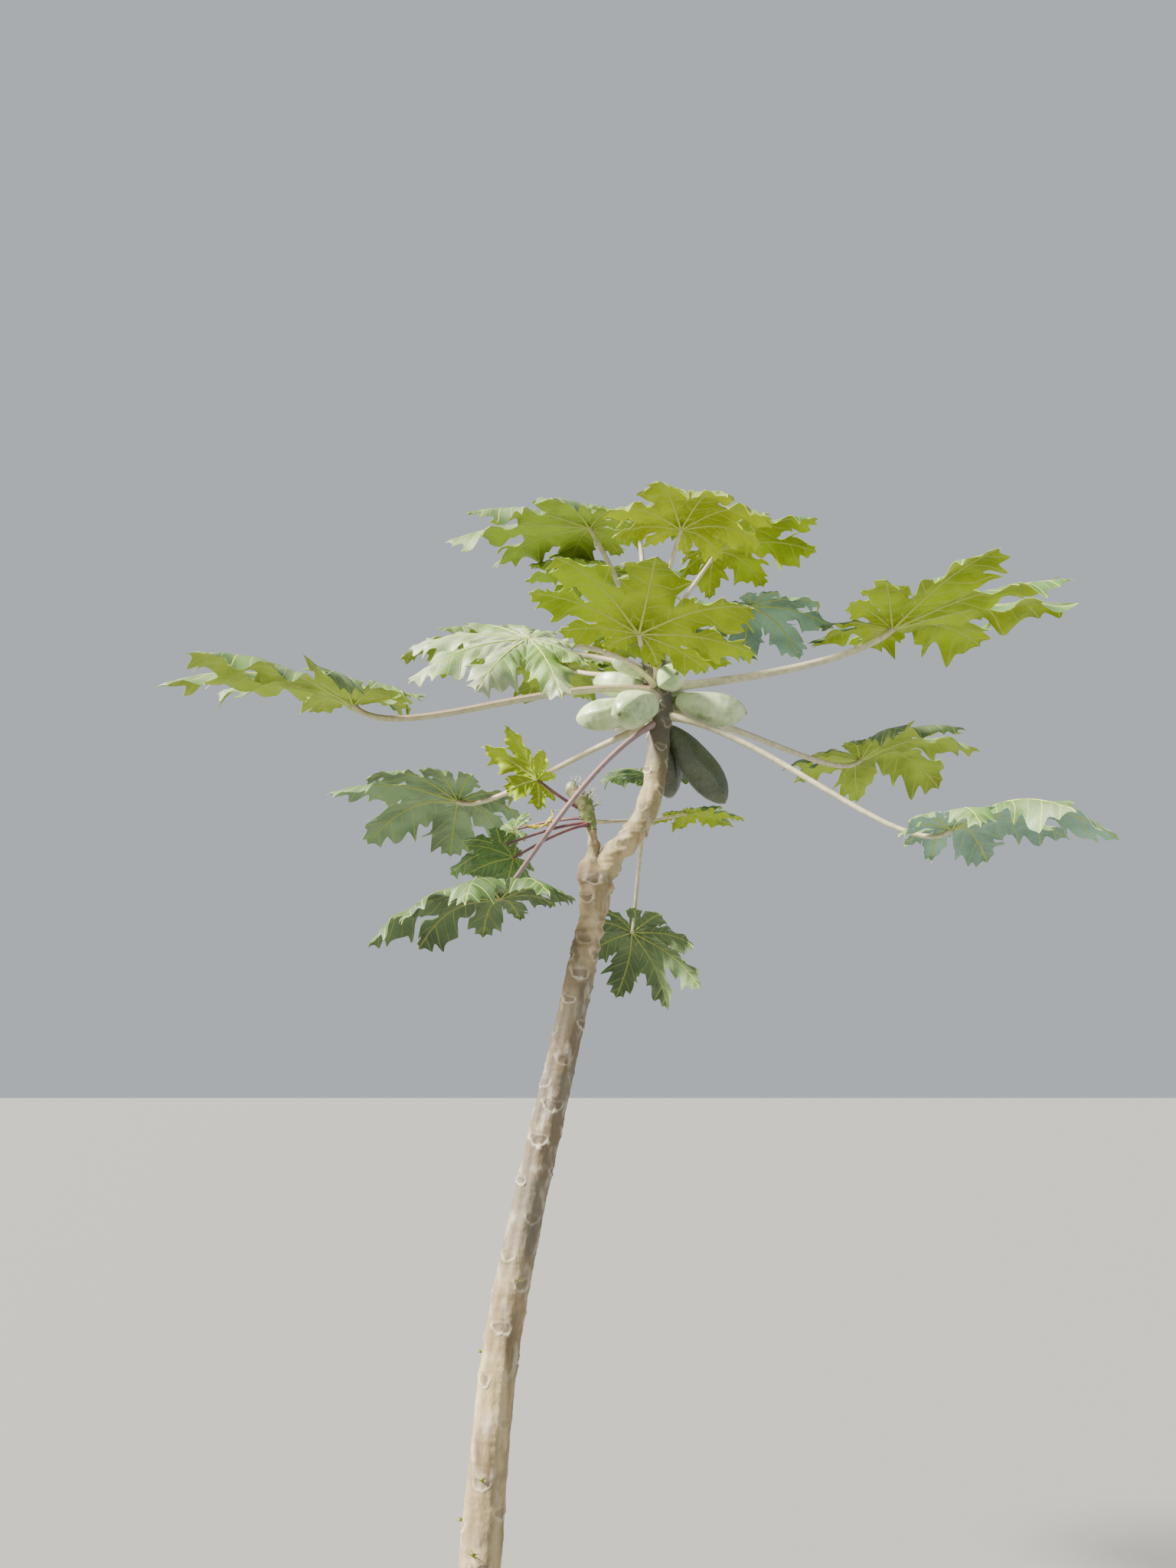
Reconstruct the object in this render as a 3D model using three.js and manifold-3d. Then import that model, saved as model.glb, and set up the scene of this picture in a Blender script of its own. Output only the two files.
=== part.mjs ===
import * as THREE from 'three';
import { mergeVertices } from 'three/addons/utils/BufferGeometryUtils.js';
import Module from 'manifold-3d';

// A young papaya tree: one leaning trunk that forks just under the crown, a crown stem that
// bends away from the fork and carries the fruits and the long-stalked leaves, and a short
// side shoot on the stub of the old leader.
// Millimetres, +Z up. The origin is the middle of the trunk's flat cut at ground level.
// Azimuths are in degrees round +Z: 0 is +X, to the right, and 270 is -Y, to the front.

const wasm = await Module();
wasm.setup();

const TOUCH_GAP = 0.3;
// Points nearer to each other than this are one point, and a body smaller than this is a crumb.
const MERGE_DISTANCE = 0.001;
const CRUMB_VOLUME = 500;
// The whole numbers behind the repeatable changes from leaf to leaf and from lobe to lobe.
const CHANCE = { perSeed: 7919, perItem: 3571, perBoth: 131, steps: 1009 };
// Seeds of the crown's leaves count up from 1, and those of the side shoot's leaves from here.
const SHOOT_SEED = 31;

const TRUNK = {
  line: [[0, 0], [1, 150], [18, 460], [56, 900], [118, 1230], [177, 1490], [254, 1840], [283, 2000],
    [271, 2060], [277, 2112], [272, 2150]],
  groundWidth: 102,
  taper: 0.019,
  flareWidth: 18,
  flareHeight: 120,
  flareRidges: 5,
  ridgeDepth: 3,
  forkHeight: 2025,
  forkSwell: 20,
  forkSpread: 55,
  stubStart: 2030,
  stubBlend: 60,
  stubWidth: 50,
  stubTopWidth: 24,
  topHeight: 2150,
  sides: 14,
  steps: 48,
};

const CROWN_STEM = {
  line: [[285, 2022], [318, 2074], [377, 2138], [427, 2240], [455, 2450], [455, 2530], [441, 2610],
    [432, 2690], [430, 2740]],
  width: 57,
  waist: 4,
  waistHeight: 2330,
  waistSpread: 90,
  domeHeight: 2600,
  topWidth: 26,
  sides: 12,
  steps: 20,
};

const SIDE_SHOOT = {
  line: [[272, 2151], [264, 2190], [246, 2230], [212, 2262]],
  footWidth: 24,
  width: 38,
  thickFrom: 0.55,
  topWidth: 28,
  sides: 8,
  steps: 8,
};

const GROWING_TIP = {
  spears: [
    { azimuth: 20, lean: 8, length: 150, width: 15 },
    { azimuth: 150, lean: 20, length: 105, width: 13 },
    { azimuth: 265, lean: 24, length: 90, width: 12 },
  ],
  tipShare: 0.33,
  sides: 6,
  sunk: 14,
};

const PETIOLE = {
  sides: 6,
  steps: 7,
  leastWidth: 3,
  widthPerBlade: 0.037,
  footSwell: 1.35,
  footLength: 0.12,
  headTaper: 0.7,
  footSunk: 0.55,
  headSunk: 8,
  footHandle: 0.36,
  headHandle: 0.18,
};

const BLADE = {
  thickness: 6,
  hub: 0.25,
  sinus: 0.5,
  slit: 0.92,
  smallest: 250,
  largeLobes: [[0, 1], [38, 0.95], [76, 0.8], [113, 0.6], [148, 0.4]],
  smallLobes: [[0, 1], [46, 0.88], [92, 0.66], [136, 0.42]],
  // Teeth and notches along one side of a lobe, as shares of its length along and across.
  longEdge: [[0.53, 0.19], [0.56, 0.15], [0.71, 0.24], [0.71, 0.16], [0.86, 0.14], [0.86, 0.08]],
  shortEdge: [[0.61, 0.28], [0.64, 0.18]],
  longEdgeFrom: 0.7,
  fold: 0.28,
  // How much a lobe may differ from the rule, from end to end, and the first item number that
  // each change is drawn with.
  bendChange: { size: 0.6, from: 0 },
  angleChange: { size: 5, from: 20 },
  lengthChange: { size: 0.16, from: 40 },
  edgeChange: { size: 0.25, from: 60 },
};

// One row for each leaf: where its stalk leaves the stem (height and azimuth), where the stalk
// meets the blade (reach from the stem's axis, and height), the stalk's slopes at both ends,
// and the blade: length of its longest lobe, pitch, roll, turn from the stalk's azimuth, how
// far its lobes rise at the hub (cup) and how far they bend down from there to the tip (droop).
const CROWN_LEAVES = [
  { name: 'leaf_left', foot: 2530, azimuth: 194, reach: 805, height: 2430, climb: 6, hook: 50,
    blade: 480, pitch: 0, roll: -12, turn: 0, cup: 18, droop: 38 },
  { name: 'leaf_front_left', foot: 2538, azimuth: 237, reach: 600, height: 2485, climb: 22, hook: -5,
    blade: 305, pitch: -18, roll: -36, turn: -30, cup: 2, droop: 32 },
  { name: 'leaf_front', foot: 2556, azimuth: 262, reach: 540, height: 2485, climb: 30, hook: 30,
    blade: 345, pitch: 8, roll: -14, turn: 14, cup: 8, droop: 34 },
  { name: 'leaf_top_left', foot: 2655, azimuth: 176, reach: 170, height: 3020, climb: 72, hook: 62,
    blade: 400, pitch: 0, roll: -8, turn: 0, cup: 6, droop: 30 },
  { name: 'leaf_top_right', foot: 2662, azimuth: 15, reach: 200, height: 2970, climb: 66, hook: 60,
    blade: 300, pitch: 4, roll: -8, turn: 0, cup: 16, droop: 50 },
  { name: 'leaf_right', foot: 2545, azimuth: 8, reach: 670, height: 2750, climb: 8, hook: 48,
    blade: 550, pitch: 0, roll: 5, turn: 0, cup: 18, droop: 28 },
  { name: 'leaf_back_right', foot: 2590, azimuth: 48, reach: 470, height: 2930, climb: 46, hook: 40,
    blade: 300, pitch: -2, roll: 0, turn: 0, cup: 2, droop: 38 },
  { name: 'leaf_far_right', foot: 2478, azimuth: 42, reach: 900, height: 2510, climb: 8, hook: 40,
    blade: 450, pitch: 0, roll: -6, turn: 0, cup: 22, droop: 58 },
  { name: 'leaf_low_right', foot: 2462, azimuth: 340, reach: 720, height: 2100, climb: -14, hook: 40,
    blade: 370, pitch: 2, roll: 0, turn: 0, cup: 14, droop: 60 },
  { name: 'leaf_far_left', foot: 2446, azimuth: 140, reach: 770, height: 2350, climb: -4, hook: 30,
    blade: 430, pitch: -8, roll: 12, turn: 0, cup: 18, droop: 55 },
  { name: 'leaf_low_left', foot: 2440, azimuth: 221, reach: 520, height: 1918, climb: -30, hook: -48,
    blade: 330, pitch: -1, roll: 8, turn: 0, cup: 8, droop: 74 },
  { name: 'leaf_low_back', foot: 2455, azimuth: 97, reach: 500, height: 1950, climb: -25, hook: -50,
    blade: 300, pitch: -50, roll: 0, turn: -48, cup: 10, droop: 50 },
  { name: 'leaf_back', foot: 2466, azimuth: 88, reach: 720, height: 2480, climb: 6, hook: 30,
    blade: 270, pitch: 24, roll: 0, turn: 0, cup: 10, droop: 34 },
  { name: 'leaf_back_left', foot: 2568, azimuth: 118, reach: 560, height: 2790, climb: 24, hook: 40,
    blade: 360, pitch: 4, roll: 0, turn: 0, cup: 10, droop: 45 },
  { name: 'leaf_top_front', foot: 2690, azimuth: 290, reach: 210, height: 2910, climb: 58, hook: 50,
    blade: 310, pitch: 4, roll: 0, turn: 0, cup: 10, droop: 56 },
  { name: 'leaf_top_back', foot: 2672, azimuth: 95, reach: 250, height: 3160, climb: 68, hook: 60,
    blade: 390, pitch: 14, roll: 0, turn: 0, cup: 16, droop: 40 },
  { name: 'leaf_mid_left', foot: 2585, azimuth: 152, reach: 450, height: 2750, climb: 34, hook: 30,
    blade: 360, pitch: 0, roll: 0, turn: 0, cup: 8, droop: 45 },
  { name: 'leaf_high_back', foot: 2612, azimuth: 84, reach: 430, height: 2850, climb: 50, hook: 40,
    blade: 390, pitch: 4, roll: 0, turn: 0, cup: 10, droop: 45 },
  { name: 'leaf_high_back_left', foot: 2626, azimuth: 118, reach: 290, height: 3000, climb: 66, hook: 50,
    blade: 290, pitch: 8, roll: 0, turn: 0, cup: 10, droop: 46 },
];

const SHOOT_LEAVES = [
  { name: 'shoot_leaf_left', foot: 2205, azimuth: 186, reach: 130, height: 2285, climb: 25, hook: 40,
    blade: 180, pitch: 30, roll: 35, turn: -20, cup: 10, droop: 20 },
  { name: 'shoot_leaf_right', foot: 2175, azimuth: 46, reach: 400, height: 2265, climb: 10, hook: 25,
    blade: 190, pitch: 0, roll: 0, turn: 0, cup: 6, droop: 30 },
  { name: 'shoot_leaf_upper', foot: 2185, azimuth: 144, reach: 255, height: 2183, climb: 8, hook: -10,
    blade: 155, pitch: -12, roll: -55, turn: 0, cup: 0, droop: 34 },
  { name: 'shoot_leaf_middle', foot: 2172, azimuth: 181, reach: 230, height: 2108, climb: -5, hook: -20,
    blade: 150, pitch: -18, roll: -58, turn: 0, cup: 0, droop: 34 },
  { name: 'shoot_leaf_lower', foot: 2165, azimuth: 222, reach: 255, height: 2045, climb: -15, hook: -30,
    blade: 150, pitch: -16, roll: -55, turn: 0, cup: 0, droop: 34 },
];

// One row for each fruit: height and azimuth of its foot on the crown stem, slope of its axis
// (down is negative), length with the stalk, and widest diameter.
const FRUITS = [
  { name: 'fruit_left', foot: 2500, azimuth: 168, slope: -8, length: 215, width: 88 },
  { name: 'fruit_front', foot: 2508, azimuth: 235, slope: -24, length: 205, width: 102 },
  { name: 'fruit_small_front', foot: 2548, azimuth: 287, slope: -4, length: 112, width: 74 },
  { name: 'fruit_young_right', foot: 2602, azimuth: 12, slope: 42, length: 130, width: 50 },
  { name: 'fruit_right', foot: 2518, azimuth: 352, slope: -14, length: 215, width: 92 },
  { name: 'fruit_long', foot: 2470, azimuth: 12, slope: -54, length: 275, width: 94 },
  { name: 'fruit_young_left', foot: 2566, azimuth: 190, slope: 20, length: 115, width: 42 },
  { name: 'fruit_back_left', foot: 2536, azimuth: 152, slope: 16, length: 190, width: 70 },
  { name: 'fruit_back_low', foot: 2462, azimuth: 78, slope: -52, length: 220, width: 84 },
  { name: 'fruit_back', foot: 2520, azimuth: 122, slope: -12, length: 190, width: 84 },
  { name: 'fruit_back_right', foot: 2530, azimuth: 50, slope: -2, length: 160, width: 70 },
];

// Share of the length along the fruit's axis, and share of its widest radius.
const FRUIT_PROFILE = [[0, 0.14], [0.1, 0.14], [0.13, 0.36], [0.24, 0.62], [0.45, 0.9], [0.62, 1],
  [0.78, 0.9], [0.9, 0.6], [0.97, 0.25]];
const FRUIT_SIDES = 8;
// Distance from the crown stem's axis to the start of a fruit, as a share of the stem's width.
const FRUIT_START = 0.36;

const bark = new THREE.MeshStandardMaterial({ color: 0xb9ad98, roughness: 0.85 });
const greenStem = new THREE.MeshStandardMaterial({ color: 0x8f9a5c, roughness: 0.7 });
const leafGreen = new THREE.MeshStandardMaterial({ color: 0x7f9a35, roughness: 0.55 });
const fruitGreen = new THREE.MeshStandardMaterial({ color: 0x7d9c78, roughness: 0.45 });

const radians = THREE.MathUtils.degToRad;
const { lerp, smoothstep } = THREE.MathUtils;

// A repeatable number from 0 to 1 for the item k of the leaf seed.
function chance(seed, k) {
  const sum = seed * CHANCE.perSeed + k * CHANCE.perItem + seed * k * CHANCE.perBoth;
  return (sum % CHANCE.steps) / CHANCE.steps;
}

function toSolid(geometry) {
  geometry.deleteAttribute('normal');
  geometry.deleteAttribute('uv');
  const merged = mergeVertices(geometry, MERGE_DISTANCE);
  const vertProperties = new Float32Array(merged.attributes.position.array);
  const triVerts = new Uint32Array(merged.index.array);
  return new wasm.Manifold(new wasm.Mesh({ numProp: 3, vertProperties, triVerts }));
}

function toGeometry(solid) {
  const { vertProperties, triVerts } = solid.getMesh();
  const geometry = new THREE.BufferGeometry();
  geometry.setAttribute('position', new THREE.BufferAttribute(vertProperties, 3));
  geometry.setIndex(new THREE.BufferAttribute(triVerts, 1));
  geometry.computeVertexNormals();
  return geometry;
}

// Only the largest closed body of a cut solid is kept: crumbs beyond the cut are dropped.
function largestBody(solid) {
  const largest = solid.decompose().reduce((best, body) => (body.volume() > best.volume() ? body : best));
  if (solid.volume() - largest.volume() > CRUMB_VOLUME) {
    throw new Error('A cut leaves more than one piece.');
  }
  return largest;
}

function moveVertices(geometry, move) {
  const position = geometry.attributes.position;
  const point = new THREE.Vector3();
  for (let i = 0; i < position.count; i += 1) {
    point.fromBufferAttribute(position, i);
    move(point);
    position.setXYZ(i, point.x, point.y, point.z);
  }
  return geometry;
}

// A round limb along a curve. widthAt gives the diameter from the share of the way along,
// the point on the curve and the angle round it.
function limb(curve, widthAt, sides, steps) {
  const frames = curve.computeFrenetFrames(steps);
  const geometry = new THREE.CylinderGeometry(1, 1, 1, sides, steps);
  return moveVertices(geometry, (point) => {
    const step = Math.round((point.y + 0.5) * steps);
    const share = step / steps;
    const centre = curve.getPointAt(share);
    const angle = Math.atan2(point.z, point.x);
    const radius = widthAt(share, centre, angle) / 2;
    const across = point.x * radius;
    const along = point.z * radius;
    point.copy(centre);
    point.addScaledVector(frames.binormals[step], across);
    point.addScaledVector(frames.normals[step], along);
  });
}

function uprightCurve(line) {
  return new THREE.CatmullRomCurve3(line.map(([x, z]) => new THREE.Vector3(x, 0, z)));
}

const trunkCurve = uprightCurve(TRUNK.line);
const stemCurve = uprightCurve(CROWN_STEM.line);
const shootCurve = uprightCurve(SIDE_SHOOT.line);

function trunkWidth(share, centre, angle) {
  const height = centre.z;
  const flare = Math.exp(-height / TRUNK.flareHeight);
  const ridges = TRUNK.ridgeDepth * Math.cos(TRUNK.flareRidges * angle);
  const fromFork = (height - TRUNK.forkHeight) / TRUNK.forkSpread;
  const swell = TRUNK.forkSwell * Math.exp(-fromFork * fromFork);
  const below = TRUNK.groundWidth - TRUNK.taper * height + (TRUNK.flareWidth + ridges) * flare + swell;
  const upStub = smoothstep(height, TRUNK.stubStart, TRUNK.topHeight);
  const stub = lerp(TRUNK.stubWidth, TRUNK.stubTopWidth, upStub);
  return lerp(below, stub, smoothstep(height, TRUNK.stubStart, TRUNK.stubStart + TRUNK.stubBlend));
}

function crownStemWidth(share, centre) {
  const fromWaist = (centre.z - CROWN_STEM.waistHeight) / CROWN_STEM.waistSpread;
  const width = CROWN_STEM.width - CROWN_STEM.waist * Math.exp(-fromWaist * fromWaist);
  const top = CROWN_STEM.line.at(-1)[1];
  return lerp(width, CROWN_STEM.topWidth, smoothstep(centre.z, CROWN_STEM.domeHeight, top));
}

function shootWidth(share) {
  const lower = lerp(SIDE_SHOOT.footWidth, SIDE_SHOOT.width, smoothstep(share, 0, SIDE_SHOOT.thickFrom));
  return lerp(lower, SIDE_SHOOT.topWidth, smoothstep(share, SIDE_SHOOT.thickFrom, 1));
}

function wider(widthAt, gap) {
  return (share, centre, angle) => widthAt(share, centre, angle) + 2 * gap;
}

// The trunk's lowest ring is laid level on the ground.
function trunkSolid(gap) {
  const geometry = limb(trunkCurve, wider(trunkWidth, gap), TRUNK.sides, TRUNK.steps);
  const stepLength = trunkCurve.getLength() / TRUNK.steps;
  return toSolid(moveVertices(geometry, (point) => {
    if (point.z < stepLength / 2) {
      point.z = 0;
    }
  }));
}

function crownStemSolid(gap) {
  return toSolid(limb(stemCurve, wider(crownStemWidth, gap), CROWN_STEM.sides, CROWN_STEM.steps));
}

function shootSolid(gap) {
  return toSolid(limb(shootCurve, wider(shootWidth, gap), SIDE_SHOOT.sides, SIDE_SHOOT.steps));
}

// The point of an upright curve at a height, by halving.
const HALVINGS = 24;

function pointAtHeight(curve, height) {
  let low = 0;
  let high = 1;
  for (let i = 0; i < HALVINGS; i += 1) {
    const middle = (low + high) / 2;
    if (curve.getPointAt(middle).z < height) {
      low = middle;
    } else {
      high = middle;
    }
  }
  return curve.getPointAt(low);
}

// The lobes of a blade: angle from the leaf's axis, length, edge outline and bend.
function bladeLobes(leaf, seed) {
  const rows = leaf.blade > BLADE.smallest ? BLADE.largeLobes : BLADE.smallLobes;
  const lobes = [];
  const change = ({ size, from }, k) => size * (chance(seed, from + k) - 0.5);
  for (const [angle, share] of rows) {
    for (const side of angle === 0 ? [1] : [-1, 1]) {
      const k = lobes.length;
      const long = leaf.blade > BLADE.smallest && share > BLADE.longEdgeFrom;
      lobes.push({
        angle: radians(side * angle + change(BLADE.angleChange, k)),
        length: leaf.blade * share * (1 + change(BLADE.lengthChange, k)),
        bend: radians(leaf.droop * (1 + change(BLADE.bendChange, k))),
        edge: long ? BLADE.longEdge : BLADE.shortEdge,
        edgeWidth: 1 + change(BLADE.edgeChange, k),
      });
    }
  }
  return lobes.sort((a, b) => a.angle - b.angle);
}

// The outline starts at the bottom of the notch between the two back lobes, over the stalk.
// Teeth keep to their own side of the line halfway to the next lobe.
function bladeOutline(lobes) {
  const shape = new THREE.Shape();
  const from = (angle, along, across) => [
    along * Math.cos(angle) - across * Math.sin(angle),
    along * Math.sin(angle) + across * Math.cos(angle),
  ];
  const halfway = (i) => {
    const [first, second] = [lobes[i], lobes[i + 1]];
    return first && second ? (second.angle - first.angle) / 2 : Math.PI / 4;
  };
  shape.moveTo(0, 0);
  lobes.forEach((lobe, i) => {
    const across = ([along, share], half) => (
      lobe.length * Math.min(share * lobe.edgeWidth, along * Math.tan(BLADE.slit * half)));
    for (const point of lobe.edge) {
      shape.lineTo(...from(lobe.angle, point[0] * lobe.length, -across(point, halfway(i - 1))));
    }
    shape.lineTo(...from(lobe.angle, lobe.length, 0));
    for (const point of lobe.edge.toReversed()) {
      shape.lineTo(...from(lobe.angle, point[0] * lobe.length, across(point, halfway(i))));
    }
    const next = lobes[i + 1];
    if (next) {
      const reach = BLADE.sinus * Math.min(lobe.length, next.length);
      shape.lineTo(...from(lobe.angle + halfway(i), reach, 0));
    }
  });
  shape.closePath();
  return shape;
}

// The flat blade is extruded. The hub is then raised to a cone, and each lobe goes on from it
// along an arc that bends down, with its edges folded down from its midrib.
function bladeGeometry(leaf, seed) {
  const lobes = bladeLobes(leaf, seed);
  const cup = radians(leaf.cup);
  const geometry = new THREE.ExtrudeGeometry(bladeOutline(lobes), {
    depth: BLADE.thickness,
    bevelEnabled: false,
  });
  return moveVertices(geometry, (point) => {
    const angle = Math.atan2(point.y, point.x);
    const lobe = lobes.reduce((near, other) => (
      Math.abs(other.angle - angle) < Math.abs(near.angle - angle) ? other : near));
    const reach = Math.hypot(point.x, point.y);
    const along = reach * Math.cos(angle - lobe.angle);
    const across = reach * Math.sin(angle - lobe.angle);
    const lift = point.z - BLADE.thickness / 2 - BLADE.fold * Math.abs(across);
    const hub = Math.min(along, BLADE.hub * lobe.length);
    const arc = lobe.length * (1 - BLADE.hub) / lobe.bend;
    const slope = cup - (along - hub) / arc;
    const out = hub * Math.cos(cup) + arc * (Math.sin(cup) - Math.sin(slope)) - lift * Math.sin(slope);
    point.set(
      out * Math.cos(lobe.angle) - across * Math.sin(lobe.angle),
      out * Math.sin(lobe.angle) + across * Math.cos(lobe.angle),
      hub * Math.sin(cup) + arc * (Math.cos(slope) - Math.cos(cup)) + lift * Math.cos(slope),
    );
  });
}

// The stalk lies in the leaf's own XZ plane, where x is the distance from the stem's axis.
function stalkCurve(leaf, stemWidth) {
  const climb = new THREE.Vector3(Math.cos(radians(leaf.climb)), 0, Math.sin(radians(leaf.climb)));
  const hook = new THREE.Vector3(Math.cos(radians(leaf.hook)), 0, Math.sin(radians(leaf.hook)));
  const start = new THREE.Vector3(stemWidth * PETIOLE.footSunk / 2, 0, 0);
  const end = new THREE.Vector3(leaf.reach, 0, leaf.height - leaf.foot);
  end.addScaledVector(hook, PETIOLE.headSunk);
  const length = start.distanceTo(end);
  return new THREE.CubicBezierCurve3(
    start,
    start.clone().addScaledVector(climb, length * PETIOLE.footHandle),
    end.clone().addScaledVector(hook, -length * PETIOLE.headHandle),
    end,
  );
}

function stalkSolid(leaf, stemWidth) {
  const middle = PETIOLE.leastWidth + PETIOLE.widthPerBlade * leaf.blade;
  const widthAt = (share) => middle * lerp(1, PETIOLE.headTaper, share)
    * lerp(PETIOLE.footSwell, 1, smoothstep(share, 0, PETIOLE.footLength));
  return toSolid(limb(stalkCurve(leaf, stemWidth), widthAt, PETIOLE.sides, PETIOLE.steps));
}

function bladeSolid(leaf, seed) {
  const place = new THREE.Object3D();
  place.rotation.set(radians(leaf.roll), -radians(leaf.pitch), radians(leaf.turn), 'ZYX');
  place.position.set(leaf.reach, 0, leaf.height - leaf.foot);
  place.updateMatrix();
  return toSolid(bladeGeometry(leaf, seed).applyMatrix4(place.matrix));
}

// Cuts a solid in the mesh's own frame clear of the stem that the mesh stands on.
function cutClear(mesh, solid, clearStem) {
  mesh.updateMatrix();
  const cutter = clearStem.transform(mesh.matrix.clone().invert().toArray());
  mesh.geometry = toGeometry(largestBody(solid.subtract(cutter)));
  return mesh;
}

function leafMesh(leaf, seed, stem) {
  const solid = stalkSolid(leaf, stem.width).add(bladeSolid(leaf, seed));
  if (solid.decompose().length !== 1) {
    throw new Error(`The stalk of ${leaf.name} misses its blade.`);
  }
  const mesh = new THREE.Mesh(undefined, leafGreen);
  mesh.name = leaf.name;
  mesh.position.copy(pointAtHeight(stem.curve, leaf.foot));
  mesh.rotation.z = radians(leaf.azimuth);
  return cutClear(mesh, solid, stem.clear);
}

// A fruit is turned round its own Y axis, which starts inside the crown stem.
function fruitMesh(fruit, stem) {
  const profile = FRUIT_PROFILE.map(([along, across]) => (
    new THREE.Vector2(across * fruit.width / 2, along * fruit.length)));
  profile.unshift(new THREE.Vector2(0, 0));
  profile.push(new THREE.Vector2(0, fruit.length));
  const mesh = new THREE.Mesh(undefined, fruitGreen);
  mesh.name = fruit.name;
  mesh.position.copy(pointAtHeight(stem.curve, fruit.foot));
  mesh.rotation.set(0, radians(90 - fruit.slope), radians(fruit.azimuth), 'ZYX');
  mesh.rotateX(Math.PI / 2);
  mesh.translateY(stem.width * FRUIT_START);
  return cutClear(mesh, toSolid(new THREE.LatheGeometry(profile, FRUIT_SIDES)), stem.clear);
}

function limbMesh(name, solid, material) {
  const mesh = new THREE.Mesh(toGeometry(largestBody(solid)), material);
  mesh.name = name;
  return mesh;
}

// Folded young leaves that stand up round the top of the crown stem.
function growingTipSolid(clearStem) {
  const top = stemCurve.getPointAt(1);
  const solids = GROWING_TIP.spears.map((spear) => {
    const foot = spear.width / 2;
    const tip = foot * GROWING_TIP.tipShare;
    const cone = new THREE.CylinderGeometry(tip, foot, spear.length, GROWING_TIP.sides);
    cone.translate(0, spear.length / 2, 0);
    cone.rotateX(Math.PI / 2);
    cone.rotateY(radians(spear.lean));
    cone.rotateZ(radians(spear.azimuth));
    cone.translate(top.x, top.y, top.z - GROWING_TIP.sunk);
    return toSolid(cone);
  });
  return solids.reduce((joined, spear) => joined.add(spear)).subtract(clearStem);
}

const clearTrunk = trunkSolid(TOUCH_GAP);
const crownStem = { curve: stemCurve, width: CROWN_STEM.width, clear: crownStemSolid(TOUCH_GAP) };
const sideShoot = { curve: shootCurve, width: SIDE_SHOOT.width, clear: shootSolid(TOUCH_GAP) };

const tree = new THREE.Group();
tree.add(limbMesh('trunk', trunkSolid(0), bark));
tree.add(limbMesh('crown_stem', crownStemSolid(0).subtract(clearTrunk), bark));
tree.add(limbMesh('side_shoot', shootSolid(0).subtract(clearTrunk), greenStem));
tree.add(limbMesh('growing_tip', growingTipSolid(crownStem.clear), leafGreen));
for (const fruit of FRUITS) {
  tree.add(fruitMesh(fruit, crownStem));
}
CROWN_LEAVES.forEach((leaf, i) => {
  tree.add(leafMesh(leaf, i + 1, crownStem));
});
SHOOT_LEAVES.forEach((leaf, i) => {
  tree.add(leafMesh(leaf, i + SHOOT_SEED, sideShoot));
});

export default tree;
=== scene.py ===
"""Bark, fruits, stalks and leaves of a young papaya tree, modelled round its solid model.

Metres, +Z up. The origin is the middle of the trunk's flat cut at ground level.
Azimuths are in degrees round +Z: 0 is +X, to the right, and 270 is -Y, to the front.
"""

import math
from collections import namedtuple

import bmesh
import bpy
from mathutils import Matrix, Vector, geometry, noise


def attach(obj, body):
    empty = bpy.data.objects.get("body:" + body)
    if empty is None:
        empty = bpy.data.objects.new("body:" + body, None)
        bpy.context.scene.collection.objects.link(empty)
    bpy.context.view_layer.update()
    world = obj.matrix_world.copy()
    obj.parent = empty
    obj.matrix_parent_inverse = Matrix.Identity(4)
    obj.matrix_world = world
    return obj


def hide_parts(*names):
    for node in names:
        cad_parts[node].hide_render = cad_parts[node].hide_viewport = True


bl_info = {
    "name": "Papaya Tree",
    "version": (1, 0, 0),
    "blender": (4, 5, 0),
    "location": "3D View > Sidebar > Papaya",
    "description": "Bark, fruits, stalks and leaves for the solid model of a young papaya tree",
    "category": "Add Mesh",
}

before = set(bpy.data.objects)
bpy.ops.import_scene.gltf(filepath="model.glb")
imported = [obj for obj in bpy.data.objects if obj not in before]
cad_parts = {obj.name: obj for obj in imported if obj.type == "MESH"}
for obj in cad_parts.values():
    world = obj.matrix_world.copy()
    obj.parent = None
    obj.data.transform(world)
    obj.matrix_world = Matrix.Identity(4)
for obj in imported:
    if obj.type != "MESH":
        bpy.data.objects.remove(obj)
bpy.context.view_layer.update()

# Centre lines of the upright limbs: points in the plane of the lean, as X and Z.
TRUNK_LINE = [
    (0, 0), (0.001, 0.15), (0.018, 0.46), (0.056, 0.9), (0.118, 1.23), (0.177, 1.49),
    (0.254, 1.84), (0.283, 2.0), (0.271, 2.06), (0.277, 2.112), (0.272, 2.15),
]
CROWN_STEM_LINE = [
    (0.285, 2.022), (0.318, 2.074), (0.377, 2.138), (0.427, 2.24), (0.455, 2.45),
    (0.455, 2.53), (0.441, 2.61), (0.432, 2.69), (0.43, 2.74),
]
SHOOT_LINE = [(0.272, 2.151), (0.264, 2.19), (0.246, 2.23), (0.212, 2.262)]
CROWN_STEM_WIDTH = 0.057
SHOOT_WIDTH = 0.038

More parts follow.
